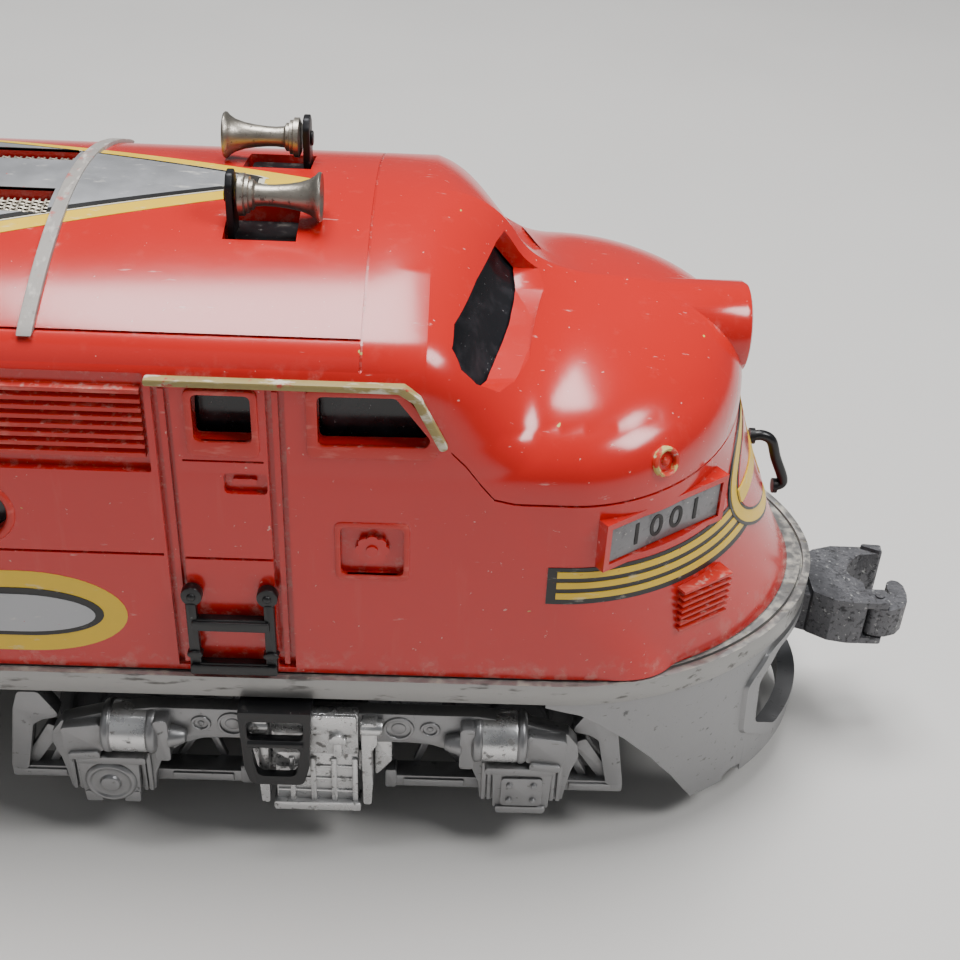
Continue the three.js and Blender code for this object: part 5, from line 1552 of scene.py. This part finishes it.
        combine(lever, Cut.JOIN, [rod((spot[0], -1.2, z1), (spot[0], 1.2, z1), 2.6, 36),
                                  rod((spot[0], -1.6, z0 + 2.2), (spot[0], 1.6, z0 + 2.2), 2.2, 32)])
        combine(lever, Cut.AWAY, [rod((spot[0], -3, z1), (spot[0], 3, z1), 1.3, 24)])
        soften(lever, 0.2)
        place(dressed(shade(lever), BLACK_STEEL), "reversing_lever", "black_steel", "reversing_lever")

    def build(self) -> None:
        """Builds the whole underframe."""
        self.build_plate()
        self.build_pilot()
        self.build_tank()
        self.screw("body_bolt_front", BOLT_XS[0], 2.8, "body_screw_front", "black_steel", BLACK_STEEL)
        self.screw("body_bolt_rear", BOLT_XS[1], 2.8, "body_screw_rear", "black_steel", BLACK_STEEL)
        self.screw("pivot_bolt", REAR_TRUCK, 5.0, "rear_pivot_screw", "bare_steel", STEEL, up=True)
        self.build_reverser()


# ---------------------------------------------------------------- trucks


def towards(shape: Shape, sign: int) -> Shape:
    """Returns a shape's points drawn towards the nose (1) or the rear (-1); its faces may look inwards."""
    return Shape(shape.points * np.array([sign, 1, 1]), shape.faces)


@dataclass
class Truck:
    """One truck's side frames, steps, wheels and works."""

    name: str
    centre: float
    wheelsets: tuple[str, str]
    face: float = 32.0
    inner: float = 29.8
    half_base: float = WHEELBASE / 2

    def arched_plate(self) -> Shape:
        """Returns the frame's beam with its two legs and rounded arches."""
        half = [(0, 19.3), (12.5, 19.3), (15.5, 19.1), (18, 18.2), (20, 16.6), (21.6, 14.4), (22.5, 12),
                (22.8, 8.8), (25.0, 8.8), (25.8, 7.4), (31.4, 7.4), (32.2, 8.8), (34.6, 8.8), (34.9, 11.5),
                (35.4, 14.5), (36.3, 17.5), (36, 19.6), (34.6, 21.6), (28, 23.6), (22, 24.6), (12, 24.6),
                (0, 24.6)]
        outline = half + [(-x, z) for x, z in reversed(half[1:-1])]
        return prism("y", [(x, z) for x, z in outline], self.inner, self.face)

    def end(self, sign: int) -> list[Shape]:
        """Returns the details of one end of a side frame; sign is +1 towards the nose."""
        f = self.face
        axle = sign * self.half_base

        def bar(points: Sequence[Point], y0: float, y1: float, radius: float = 0.4) -> Shape:
            """Returns a rounded plate of this end, between two distances from the middle."""
            return prism("y", rounded([(sign * x, z) for x, z in points], radius), y0, y1)

        shapes = [
            bar(rectangle(33, 9.0, 43.2, 11.1), self.inner - 2.4, self.inner + 0.6),
            bar(rectangle(35.5, 9.4, 41.5, 10.7), self.inner + 0.2, self.inner + 0.9, 0.2),
            bar([(35.0, 21.0), (37.6, 25.6), (40.4, 25.6), (41.4, 22.5), (43.2, 10.6), (40.8, 10.6),
                 (39.0, 19.4), (37.6, 20.4)], self.inner - 1.6, self.inner + 0.9, 0.9),
            bar([(35.4, 17.6), (37.4, 18.6), (42.0, 10.8), (39.8, 10.8)], self.inner - 1.8, self.inner - 0.2),
            bar(rectangle(9.6, 9.0, 23.4, 11.1), self.inner - 2.4, self.inner + 0.6),
            bar(rectangle(12.0, 9.4, 20.6, 10.7), self.inner + 0.2, self.inner + 0.9, 0.2),
            bar(rectangle(9.4, 8.8, 11.0, 12.2), self.inner - 1.6, self.inner + 0.7),
            bar([(13.2, 10.6), (14.2, 10.6), (17.4, 20.4), (16.2, 20.4)], self.inner - 3.4, self.inner - 2.4),
            bar([(19.6, 10.6), (20.6, 10.6), (15.0, 20.4), (13.8, 20.4)], self.inner - 3.4, self.inner - 2.4),
            bar([(37.0, 10.8), (38.2, 10.8), (35.6, 16.4), (34.2, 16.4)], self.inner - 1.8, self.inner - 0.6),
            towards(lathe([(0, 21.3), (2.9, 21.3), (3.55, 21.6), (3.7, 22.0), (3.7, 22.5), (3.45, 22.7),
                           (3.45, 27.6), (3.7, 27.8), (3.7, 28.4), (3.4, 28.8), (2.6, 29.0), (0, 29.0)],
                          "x", (0, f - 0.6, 20.6), 40), sign),
            bar(rectangle(19.7, 16.6, 21.7, 24.0), f - 0.3, f + 2.1, 0.6),
            towards(lathe([(0, 17.6), (0.9, 17.6), (1.2, 18.2), (1.5, 19.2), (1.7, 19.9), (0, 19.9)], "x",
                          (0, f + 0.7, 20.2), 24), sign),
            bar([(28.8, 17.6), (34.2, 17.0), (34.4, 21.8), (28.8, 22.6)], f - 0.3, f + 1.6, 0.7),
            bar([(29.4, 16.6), (33.6, 16.2), (33.8, 17.4), (29.4, 17.8)], f - 0.3, f + 2.0, 0.4),
            bar(rectangle(23.3, 15.4, 32.9, 16.7), f - 0.3, f + 1.9, 0.5),
            bar([(24.7, 8.3), (32.5, 8.3), (32.8, 15.6), (24.4, 15.6)], f - 0.3, f + 1.35, 0.6),
        ]
        for x in (23.3, 24.1, 33.0, 33.9):
            shapes.append(bar([(x - 0.3, 9.0), (x + 0.3, 9.0), (x + 0.35, 16.4), (x - 0.35, 16.4)], f - 0.3,
                              f + 0.55, 0.15))
        shapes += [ring_profile([(r - 0.3, -0.4), (r + 0.3, -0.4), (r + 0.2, 0.3), (r - 0.2, 0.3)], "y",
                                (sign * x, f, 22.0), 32) for x, r in ((11.3, 1.9), (15.6, 1.15))]
        shapes += [lathe([(0, f - 0.3), (r, f - 0.3), (r * 0.9, f + 0.12), (0, f + 0.2)], "y",
                         (sign * x, 0, 22.0), 24) for x, r in ((11.3, 1.1), (15.6, 0.5))]
        shapes += self.journal(axle, sign)
        return [self.outward(s) for s in shapes]

    def outward(self, shape: Shape) -> Shape:
        """Returns a shape whose faces look outwards, whichever way it was drawn."""
        p = shape.points
        volume = 0.0
        for face in shape.faces:
            a = p[face[0]]
            for i in range(1, len(face) - 1):
                volume += float(np.dot(a, np.cross(p[face[i]], p[face[i + 1]])))
        return shape if volume > 0 else shape.inside_out()

    def journal(self, axle: float, sign: int) -> list[Shape]:
        """Returns an axle box: a round cover at the rear, and a flat plate with four bolts at the front."""
        f = self.face
        bolt = [(0, f + 1.2), (0.5, f + 1.2), (0.45, f + 2.0), (0, f + 2.15)]
        if sign > 0:
            plate = prism("y", rounded(rectangle(axle - 2.9, 9.2, axle + 2.9, 14.6), 0.7),
                          f, f + 1.75)
            lip = prism("y", rounded([(axle - 3.4, 7.6), (axle + 3.4, 7.6), (axle + 3.7, 8.9),
                                      (axle - 3.7, 8.9)], 0.5), f, f + 1.7)
            bolts = [lathe([(r, y + 0.1) for r, y in bolt], "y", (axle + dx, 0, 11.9 + dz), 16)
                     for dx in (-1.7, 1.7) for dz in (-1.5, 1.5)]
            return [plate, lip, *bolts]
        cover = lathe([(0, f), (3.6, f), (3.6, f + 1.5), (3.2, f + 1.9), (2.9, f + 1.9), (2.6, f + 1.6),
                       (1.5, f + 1.6), (1.3, f + 2.1), (0.9, f + 2.2), (0, f + 2.2)], "y",
                      (axle, 0, AXLE_Z), 44)
        lugs = [prism("y", rounded([(axle + s * 2.6 - 1.2, 7.6), (axle + s * 2.6 + 1.2, 7.6),
                                    (axle + s * 2.9 + 1, 9.6), (axle + s * 2.9 - 1, 9.6)], 0.4), f, f + 1.5)
                for s in (-1, 1)]
        return [cover, *lugs]

    def bolster(self) -> list[Shape]:
        """Returns the middle of a side frame: hanger block, slatted spring plank, T pin and links."""
        f = self.face
        shapes = [
            prism("y", rounded(rectangle(-5.9, 18, 5.9, 25.6), 0.5), f - 0.3, f + 1.3),
            prism("y", rounded(rectangle(-5.7, 22.2, 5.7, 25.5), 0.5), f, f + 1.75),
            prism("y", rounded(rectangle(-5.6, 8.4, 5.8, 18.3), 0.3), f - 0.8, f + 1.2),
            prism("y", rounded(rectangle(-6.0, 7.55, 6.2, 9.1), 0.4), f - 0.8, f + 2.1),
            box((-6.5, self.inner - 0.8, 13.4), (6.5, f - 0.2, 17.4)),
            rod((3.1, f + 1.2, 21.6), (3.1, f + 2.3, 21.6), 0.9, 20),
            prism("y", rounded(rectangle(1.9, 20.7, 4.3, 21.8), 0.4), f + 1.0, f + 2.2),
            prism("y", rounded(rectangle(2.5, 18.0, 3.7, 21.2), 0.4), f + 1.0, f + 2.0)]
        for x in (-3.3, -0.4, 2.5, 5.4):
            shapes.append(prism("y", rounded(rectangle(x - 0.4, 8.8, x + 0.4, 17.4), 0.25),
                                f + 0.9, f + 1.65))
        for sign in (-1, 1):
            link = [(6.5, 8.7), (7.7, 8.7), (7.9, 13), (7.7, 19), (8.5, 20.6), (8.5, 24.4), (6.3, 24.4),
                    (6.3, 20.4)]
            shapes.append(prism("y", rounded([(sign * x, z) for x, z in link], 0.5), f - 0.2, f + 1.9))
            shapes.append(rod((sign * 6.2, f + 1.1, 23.2), (sign * 9.2, f + 1.1, 23.2), 1.15, 20))
            web = [(8.0, 12.0), (10.4, 15.2), (10.4, 19.4), (8.0, 19.4)]
            shapes.append(prism("y", rounded([(sign * x, z) for x, z in web], 0.4), self.inner, f - 0.4))
        return [self.outward(s) for s in shapes]

    def build_side_frames(self) -> None:
        """Builds both side frames, and the cylinders and planks on them in a lighter silver, rubbed and
        painted with a highlight.
        """
        body = f"{self.name}_truck"
        ribs = [prism("y", rectangle(-5.4, z, 5.6, z + 0.45), self.face + 0.9, self.face + 1.45)
                for z in (10.6, 13.0, 15.4)]
        for side, sign in SIDES:
            groups = [([self.arched_plate(), *self.end(1), *self.end(-1)], SILVER)]
            # the bolster is rubbed and painted lighter as a highlight
            groups.append((self.bolster() + [self.outward(r) for r in ribs], SILVER_RUBBED_AND_HIGHLIT))
            made = []
            for i, (shapes, finish) in enumerate(groups):
                placed = [s.on_side(sign).moved(self.centre) for s in shapes]
                made.append(make(f"part_{i}", placed, finish, 0.22, 38))
            cylinders = []
            for end in (-1, 1):
                sleeve = lathe([(0, 22.8), (3.52, 22.8), (3.58, 23.1), (3.58, 27.2), (3.52, 27.5), (0, 27.5)],
                               "x", (0, self.face - 0.6, 20.6), 40)
                cylinders.append(self.outward(towards(sleeve, end)).on_side(sign).moved(self.centre))
            # the cylinders are rubbed and painted lighter as a highlight
            made.append(make("sleeves", cylinders, SILVER_RUBBED_AND_HIGHLIT))
            place(merged(f"{self.name}_truck_casting_{side}", made), body, "silver_paint",
                  f"{self.name}_side_frame_{side}")

    def wheel(self, x: float, sign: int) -> Shape:
        """Returns one wheel: flange, coned tread, dished web and hub."""
        profile = [(2.25, 14.3), (10.9, 14.3), (11.4, 14.55), (11.6, 14.9), (11.45, 15.3), (10.9, 15.7),
                   (10.62, 16.1), (10.4, 19.9), (10.2, 20.2), (8.9, 20.2), (8.5, 19.9), (8.2, 18.4),
                   (7.4, 17.9), (5.2, 17.9), (4.6, 18.3), (4.3, 19.2), (3.9, 19.5), (2.25, 19.5)]
        shape = ring_profile(profile, "y", (0, 0, 0), 64).on_side(sign)
        return self.outward(shape.moved(x, 0, AXLE_Z))

    def build_wheels(self) -> None:
        """Builds the wheels and axles of both wheelsets."""
        for wheelset, offset in zip(self.wheelsets, (self.half_base, -self.half_base)):
            x = self.centre + offset
            prefix = f"{self.name}_{wheelset}"
            for side, sign in SIDES:
                place(make(f"{prefix}_tyre_{side}", [self.wheel(x, sign)], SINTERED),
                      f"{prefix}_wheelset", "sintered_iron", f"{prefix}_wheel_{side}")
            ends = [(0, -20.4), (1.6, -20.4), (1.95, -20.1), (1.95, 20.1), (1.6, 20.4), (0, 20.4)]
            place(make(f"{prefix}_shaft", [lathe(ends, "y", (x, 0, AXLE_Z), 28)], STEEL),
                  f"{prefix}_wheelset", "bare_steel", f"{prefix}_axle")

    def build(self) -> None:
        """Builds the truck's looks."""
        self.build_side_frames()
        self.build_wheels()


@dataclass
class FrontTruck(Truck):
    """The powered truck, which also carries the stirrup steps, the motor and the worm."""

    def build_stirrups(self) -> None:
        """Builds the black two-rung steps that hang outside the truck."""
        for side, sign in SIDES:
            y0 = self.face + 2.4
            outline = rounded([(-8.7, 14.2), (-1.5, 14.2), (-0.7, 17.4), (-0.2, 27.6), (-9.9, 27.6),
                               (-9.5, 17.4)], 1.2, 6)
            step = raw_object(f"stirrup_{side}", [prism("y", outline, y0, y0 + 1.2)])
            combine(step, Cut.AWAY, [
                prism("y", rounded([(-8.8, 22.6), (-1.4, 22.6), (-1.2, 26.0), (-8.9, 26.0)], 0.8, 5),
                      y0 - 1, y0 + 3),
                prism("y", rounded([(-7.7, 15.8), (-2.5, 15.8), (-1.6, 21.3), (-8.6, 21.3)], 1.2, 6),
                      y0 - 1, y0 + 3)])
            combine(step, Cut.JOIN, [box((-9.9, self.inner, 26.4), (-0.2, y0 + 1.2, 27.6)),
                                     rod((-8.8, y0 + 0.8, 21.9), (-1.4, y0 + 0.8, 21.9), 0.75, 20)])
            soften(step, 0.28)
            mirrored(step, sign)
            step.data.transform(Matrix.Translation((self.centre * MM, 0, 0)))
            place(dressed(shade(step, 40), BLACK), "front_truck", "black_plastic", f"stirrup_step_{side}")

    def build_works(self) -> None:
        """Dresses the motor, and builds the wound armature, the worm and its wheel."""
        nodes = frame["nodes"]
        dressed(nodes["front_truck_frame"], CAST_ZINC)
        dressed(nodes["motor_housing"], BLACK_STEEL)
        dressed(nodes["brush_plate"], PHENOLIC)
        x = float(middle("armature")[0])
        shaft = make("shaft", [rod((x, 0, 5.6), (x, 0, 55), 1.2, 24)], STEEL)
        poles = []
        for i in range(3):
            pole = prism("z", [(math.cos(a) * 9.1, math.sin(a) * 9.1) for a in np.linspace(-0.85, 0.85, 14)]
                         + [(2.2, 1.7), (2.2, -1.7)], 29, 42)
            poles.append(pole.turned("z", 120 * i).moved(x))
        core = make("core", poles, STEEL, 0.2)
        coils = [lathe([(0, 27.6), (6.6, 27.6), (7.6, 28.4), (7.9, 30), (7.9, 41.5), (7.6, 43), (6.6, 44),
                        (0, 44)], "z", (x, 0, 0), 9)]
        winding = make("winding", coils, COPPER, 0.6)
        segments = [lathe(rectangle(0, 45.3, 5.4, 47.4), "z", (x, 0, 0), 36)]
        commutator = make("commutator", segments, COPPER, 0.2)
        place(merged("wound_armature", [shaft, core, winding, commutator]), "armature", "copper", "armature")
        place(make("worm", [self.worm(x)], BRASS, angle=50), "armature", "brass", "drive_worm")
        axle = self.centre - self.half_base
        teeth = []
        count, root, tip = 18, 5.3, 6.2
        for i in range(count * 8):
            phase = (i % 8) / 8
            lift = 0.5 + 0.5 * math.cos(2 * math.pi * phase)
            angle = 2 * math.pi * (i + 0.5) / (count * 8)
            teeth.append((axle + (root + (tip - root) * lift ** 0.7) * math.cos(angle),
                          AXLE_Z + (root + (tip - root) * lift ** 0.7) * math.sin(angle)))
        wheel = raw_object("worm_wheel", [prism("y", teeth, -1.8, 1.8)])
        combine(wheel, Cut.AWAY, [rod((axle, -3, AXLE_Z), (axle, 3, AXLE_Z), 2.3, 32)])
        place(dressed(shade(soften(wheel, 0.12), 30), BRASS), "front_drive_wheelset", "brass", "worm_gear")

    def worm(self, x: float) -> Shape:
        """Returns the worm: a sleeve with a helical thread."""
        low, high = float(corner("drive_worm", 0)[2]), float(corner("drive_worm", 1)[2])
        rows, sides = 80, 32
        points, faces = [], []
        for i in range(rows + 1):
            z = low + (high - low) * i / rows
            for k in range(sides):
                a = 2 * math.pi * k / sides
                wave = 0.5 + 0.5 * math.cos(2 * math.pi * z / 2.0 - a)
                ends = min(1.0, (z - low) / 0.6, (high - z) / 0.6)
                r = 1.8 + 0.78 * wave * max(ends, 0)
                points.append((x + r * math.cos(a), r * math.sin(a), z))
        for i in range(rows):
            for k in range(sides):
                j = (k + 1) % sides
                faces.append((i * sides + k, i * sides + j, (i + 1) * sides + j, (i + 1) * sides + k))
        faces += [tuple(reversed(range(sides))), tuple(range(rows * sides, (rows + 1) * sides))]
        return Shape(np.array(points), faces)

    def build(self) -> None:
        """Builds the powered truck's looks."""
        super().build()
        self.build_stirrups()
        self.build_works()


@dataclass
class RearTruck(Truck):
    """The trailing truck, which carries the sprung pickup."""

    def build_works(self) -> None:
        """Dresses the frame and the pickup arm, and builds the roller."""
        nodes = frame["nodes"]
        dressed(nodes["rear_truck_frame"], BLACK_STEEL)
        dressed(nodes["pickup_arm"], COPPER)
        x, _, z = middle("pickup_roller")
        profile = [(0.9, -3.7), (1.9, -3.7), (2.2, -3.4), (2.2, -2.6), (2.05, -2.2), (2.05, 2.2),
                   (2.2, 2.6), (2.2, 3.4), (1.9, 3.7), (0.9, 3.7)]
        place(make("contact_roller", [ring_profile(profile, "y", (x, 0, z), 40)], STEEL), "pickup_roller",
              "bare_steel", "pickup_roller")

    def build(self) -> None:
        """Builds the trailing truck's looks."""
        super().build()
        self.build_works()


@dataclass
class Coupler:
    """One knuckle coupler, drawn pointing forward from its truck's centre."""

    name: str
    turn: float  # degrees about Z
    tip: float = 168.0
    head: float = 15.0
    pivot: tuple = (10.0, -5.2)

    def posed(self, shape: Shape) -> Shape:
        """Returns a shape drawn for the front, turned to this coupler's end."""
        return shape.turned("z", self.turn) if self.turn else shape

    def build(self) -> None:
        """Builds the cast head with its bar, and the hinged knuckle."""
        node = f"{self.name}_coupler_arm"
        low, high = corners(node)
        start = 100.0 if self.name == "front" else 115.0
        base = self.tip - self.head
        outline = [(0, -4.5), (3, -6.4), (6, -7), (8.2, -7), (8.2, -1.9), (6.6, -0.5), (6.2, 0.8),
                   (6.7, 2.4), (9, 4.9), (13, 5.4), (13, 7), (5, 7), (2, 6), (0, 4.5)]
        top, bottom = high[2], 18.0
        plan = rounded([(x + base, y) for x, y in outline], 0.7, 3)
        arm = raw_object(f"{self.name}_coupler_casting", [self.posed(prism("z", plan, bottom, top))])
        ear = rounded([(x + base, y) for x, y in ((7.6, -7), (11.2, -7), (11.6, -5.6), (11.2, -3.6),
                                                  (7.6, -3.6))], 0.6)
        bar = rounded(rectangle(start, -2.5, base + 3, 2.5), 0.3)
        neck = rounded([(base - 3.5, -2.4), (base + 1.5, -4.4), (base + 1.5, 4.4), (base - 3.5, 2.4)], 0.6)
        pin = [base + self.pivot[0], self.pivot[1]]
        joins = [prism("z", ear, bottom, bottom + 1.1), prism("z", ear, top - 1.1, top),
                 prism("z", bar, 17.6, 20.4), prism("z", neck, 17.6, 24.6),
                 rod((start, 0, 17.6), (start, 0, 20.4), 4, 40), rod((pin[0], pin[1], bottom - 0.2),
                                                                     (pin[0], pin[1], top + 0.3), 0.7, 20),
                 prism("z", rounded([(base + 9.5, 6.6), (base + 12.6, 5.2), (base + 12.8, 6.8),
                                     (base + 10, 7.0)], 0.3), bottom - 0.5, top + 0.6)]
        combine(arm, Cut.JOIN, [self.posed(s) for s in joins])
        combine(arm, Cut.AWAY, [self.posed(rod((start, 0, 10), (start, 0, 30), 2.1, 32)),
                                self.posed(box((base + 1.5, -2.6, bottom - 1), (base + 5, 2.6,
                                                                                bottom + 2)))])
        soften(arm, 0.35, 2, 40)
        body = f"{self.name}_coupler"
        place(dressed(shade(arm, 40), CAST_ZINC), body, "cast_zinc", node)
        px, py = pin
        finger = [(px - 0.4, py - 1.6), (px + 1.6, py - 1.7), (base + 13.4, -6.2), (base + 14.6, -4.8),
                  (base + 15, -3), (base + 15, -0.8), (base + 14.4, 0.3), (base + 13.4, 0.6),
                  (base + 12.5, -0.1), (base + 12.3, -1.4), (base + 12.4, -2.8), (px + 0.8, py + 1.5)]
        knuckle = raw_object(f"{self.name}_coupler_knuckle",
                             [self.posed(prism("z", rounded(finger, 0.7, 4), bottom + 1.4, top - 1.4))])
        combine(knuckle, Cut.JOIN, [self.posed(rod((px, py, bottom + 1.4), (px, py, top - 1.4), 1.5, 32))])
        combine(knuckle, Cut.AWAY, [self.posed(rod((px, py, 10), (px, py, 30), 1.0, 24))])
        soften(knuckle, 0.3, 2, 40)
        place(dressed(shade(knuckle, 40), CAST_ZINC), f"{self.name}_knuckle", "cast_zinc",
              f"{self.name}_knuckle")


class Stage:
    """The pale floor, the soft studio lights and the camera."""

    def build(self) -> None:
        """Builds the floor, three area lights, a dim surrounding and the camera."""
        mesh = bpy.data.meshes.new("studio_floor")
        reach = 3.0
        mesh.from_pydata([(-reach, -reach, 0), (reach, -reach, 0), (reach, reach, 0), (-reach, reach, 0)],
                         [], [(0, 1, 2, 3)])
        floor = link(mesh, "studio_floor")
        dressed(floor, FLOOR)
        world = bpy.data.worlds.new("studio")
        world.use_nodes = True
        world.node_tree.nodes["Background"].inputs[0].default_value = linear("#E9EDF2")
        world.node_tree.nodes["Background"].inputs[1].default_value = 0.17
        bpy.context.scene.world = world
        self.light("window", (0.04, 0.14, 0.80), 0.40, 9.5)
        self.light("lamp", (0.42, -0.12, 0.46), 0.16, 1.6)
        self.light("fill", (-0.30, -0.60, 0.50), 0.7, 0.45)
        self.camera()

    def light(self, name: str, spot: Point, size: float, power: float) -> None:
        """Adds a square soft light that looks at the cab."""
        data = bpy.data.lights.new(name, "AREA")
        data.size, data.energy = size, power
        lamp = bpy.data.objects.new(name, data)
        lamp.location = spot
        aim = Vector((CAB * MM, 0, 0.05)) - Vector(spot)
        lamp.rotation_euler = aim.to_track_quat("-Z", "Y").to_euler()
        bpy.context.scene.collection.objects.link(lamp)

    def camera(self) -> None:
        """Adds the camera, which looks down on the nose from the locomotive's right."""
        yaw, pitch, roll = (math.radians(a) for a in (1.64, 35.0, 2.83))
        ahead = Vector((math.sin(yaw) * math.cos(pitch), math.cos(yaw) * math.cos(pitch), -math.sin(pitch)))
        level = Vector((math.cos(yaw), -math.sin(yaw), 0))
        up = level.cross(ahead)
        right = math.cos(roll) * level + math.sin(roll) * up
        top = right.cross(ahead)
        data = bpy.data.cameras.new("camera")
        data.lens, data.sensor_width = 52.5, 36.0
        obj = bpy.data.objects.new("camera", data)
        turn = Matrix((right, top, -ahead)).transposed().to_4x4()
        obj.matrix_world = Matrix.Translation(Vector((CAB + 16.8, -169.1, 159.9)) * MM) @ turn
        bpy.context.scene.collection.objects.link(obj)
        bpy.context.scene.camera = obj



def main() -> None:
    """Builds every piece, then the stage."""
    logging.basicConfig(level=logging.INFO, format="%(message)s")
    shell = BodyShell()
    shell.build_shell()
    shell.build_trim()
    printing = Printing()
    printing.build_roof(shell)
    printing.build_sides()
    printing.build_nose()
    Fittings().build()
    Underframe().build()
    FrontTruck("front", CAB, ("lead", "drive")).build()
    RearTruck("rear", REAR_TRUCK, ("lead", "trail")).build()
    Coupler("front", 0.0).build()
    Coupler("rear", 180.0).build()
    Stage().build()


if __name__ == "__main__":
    main()
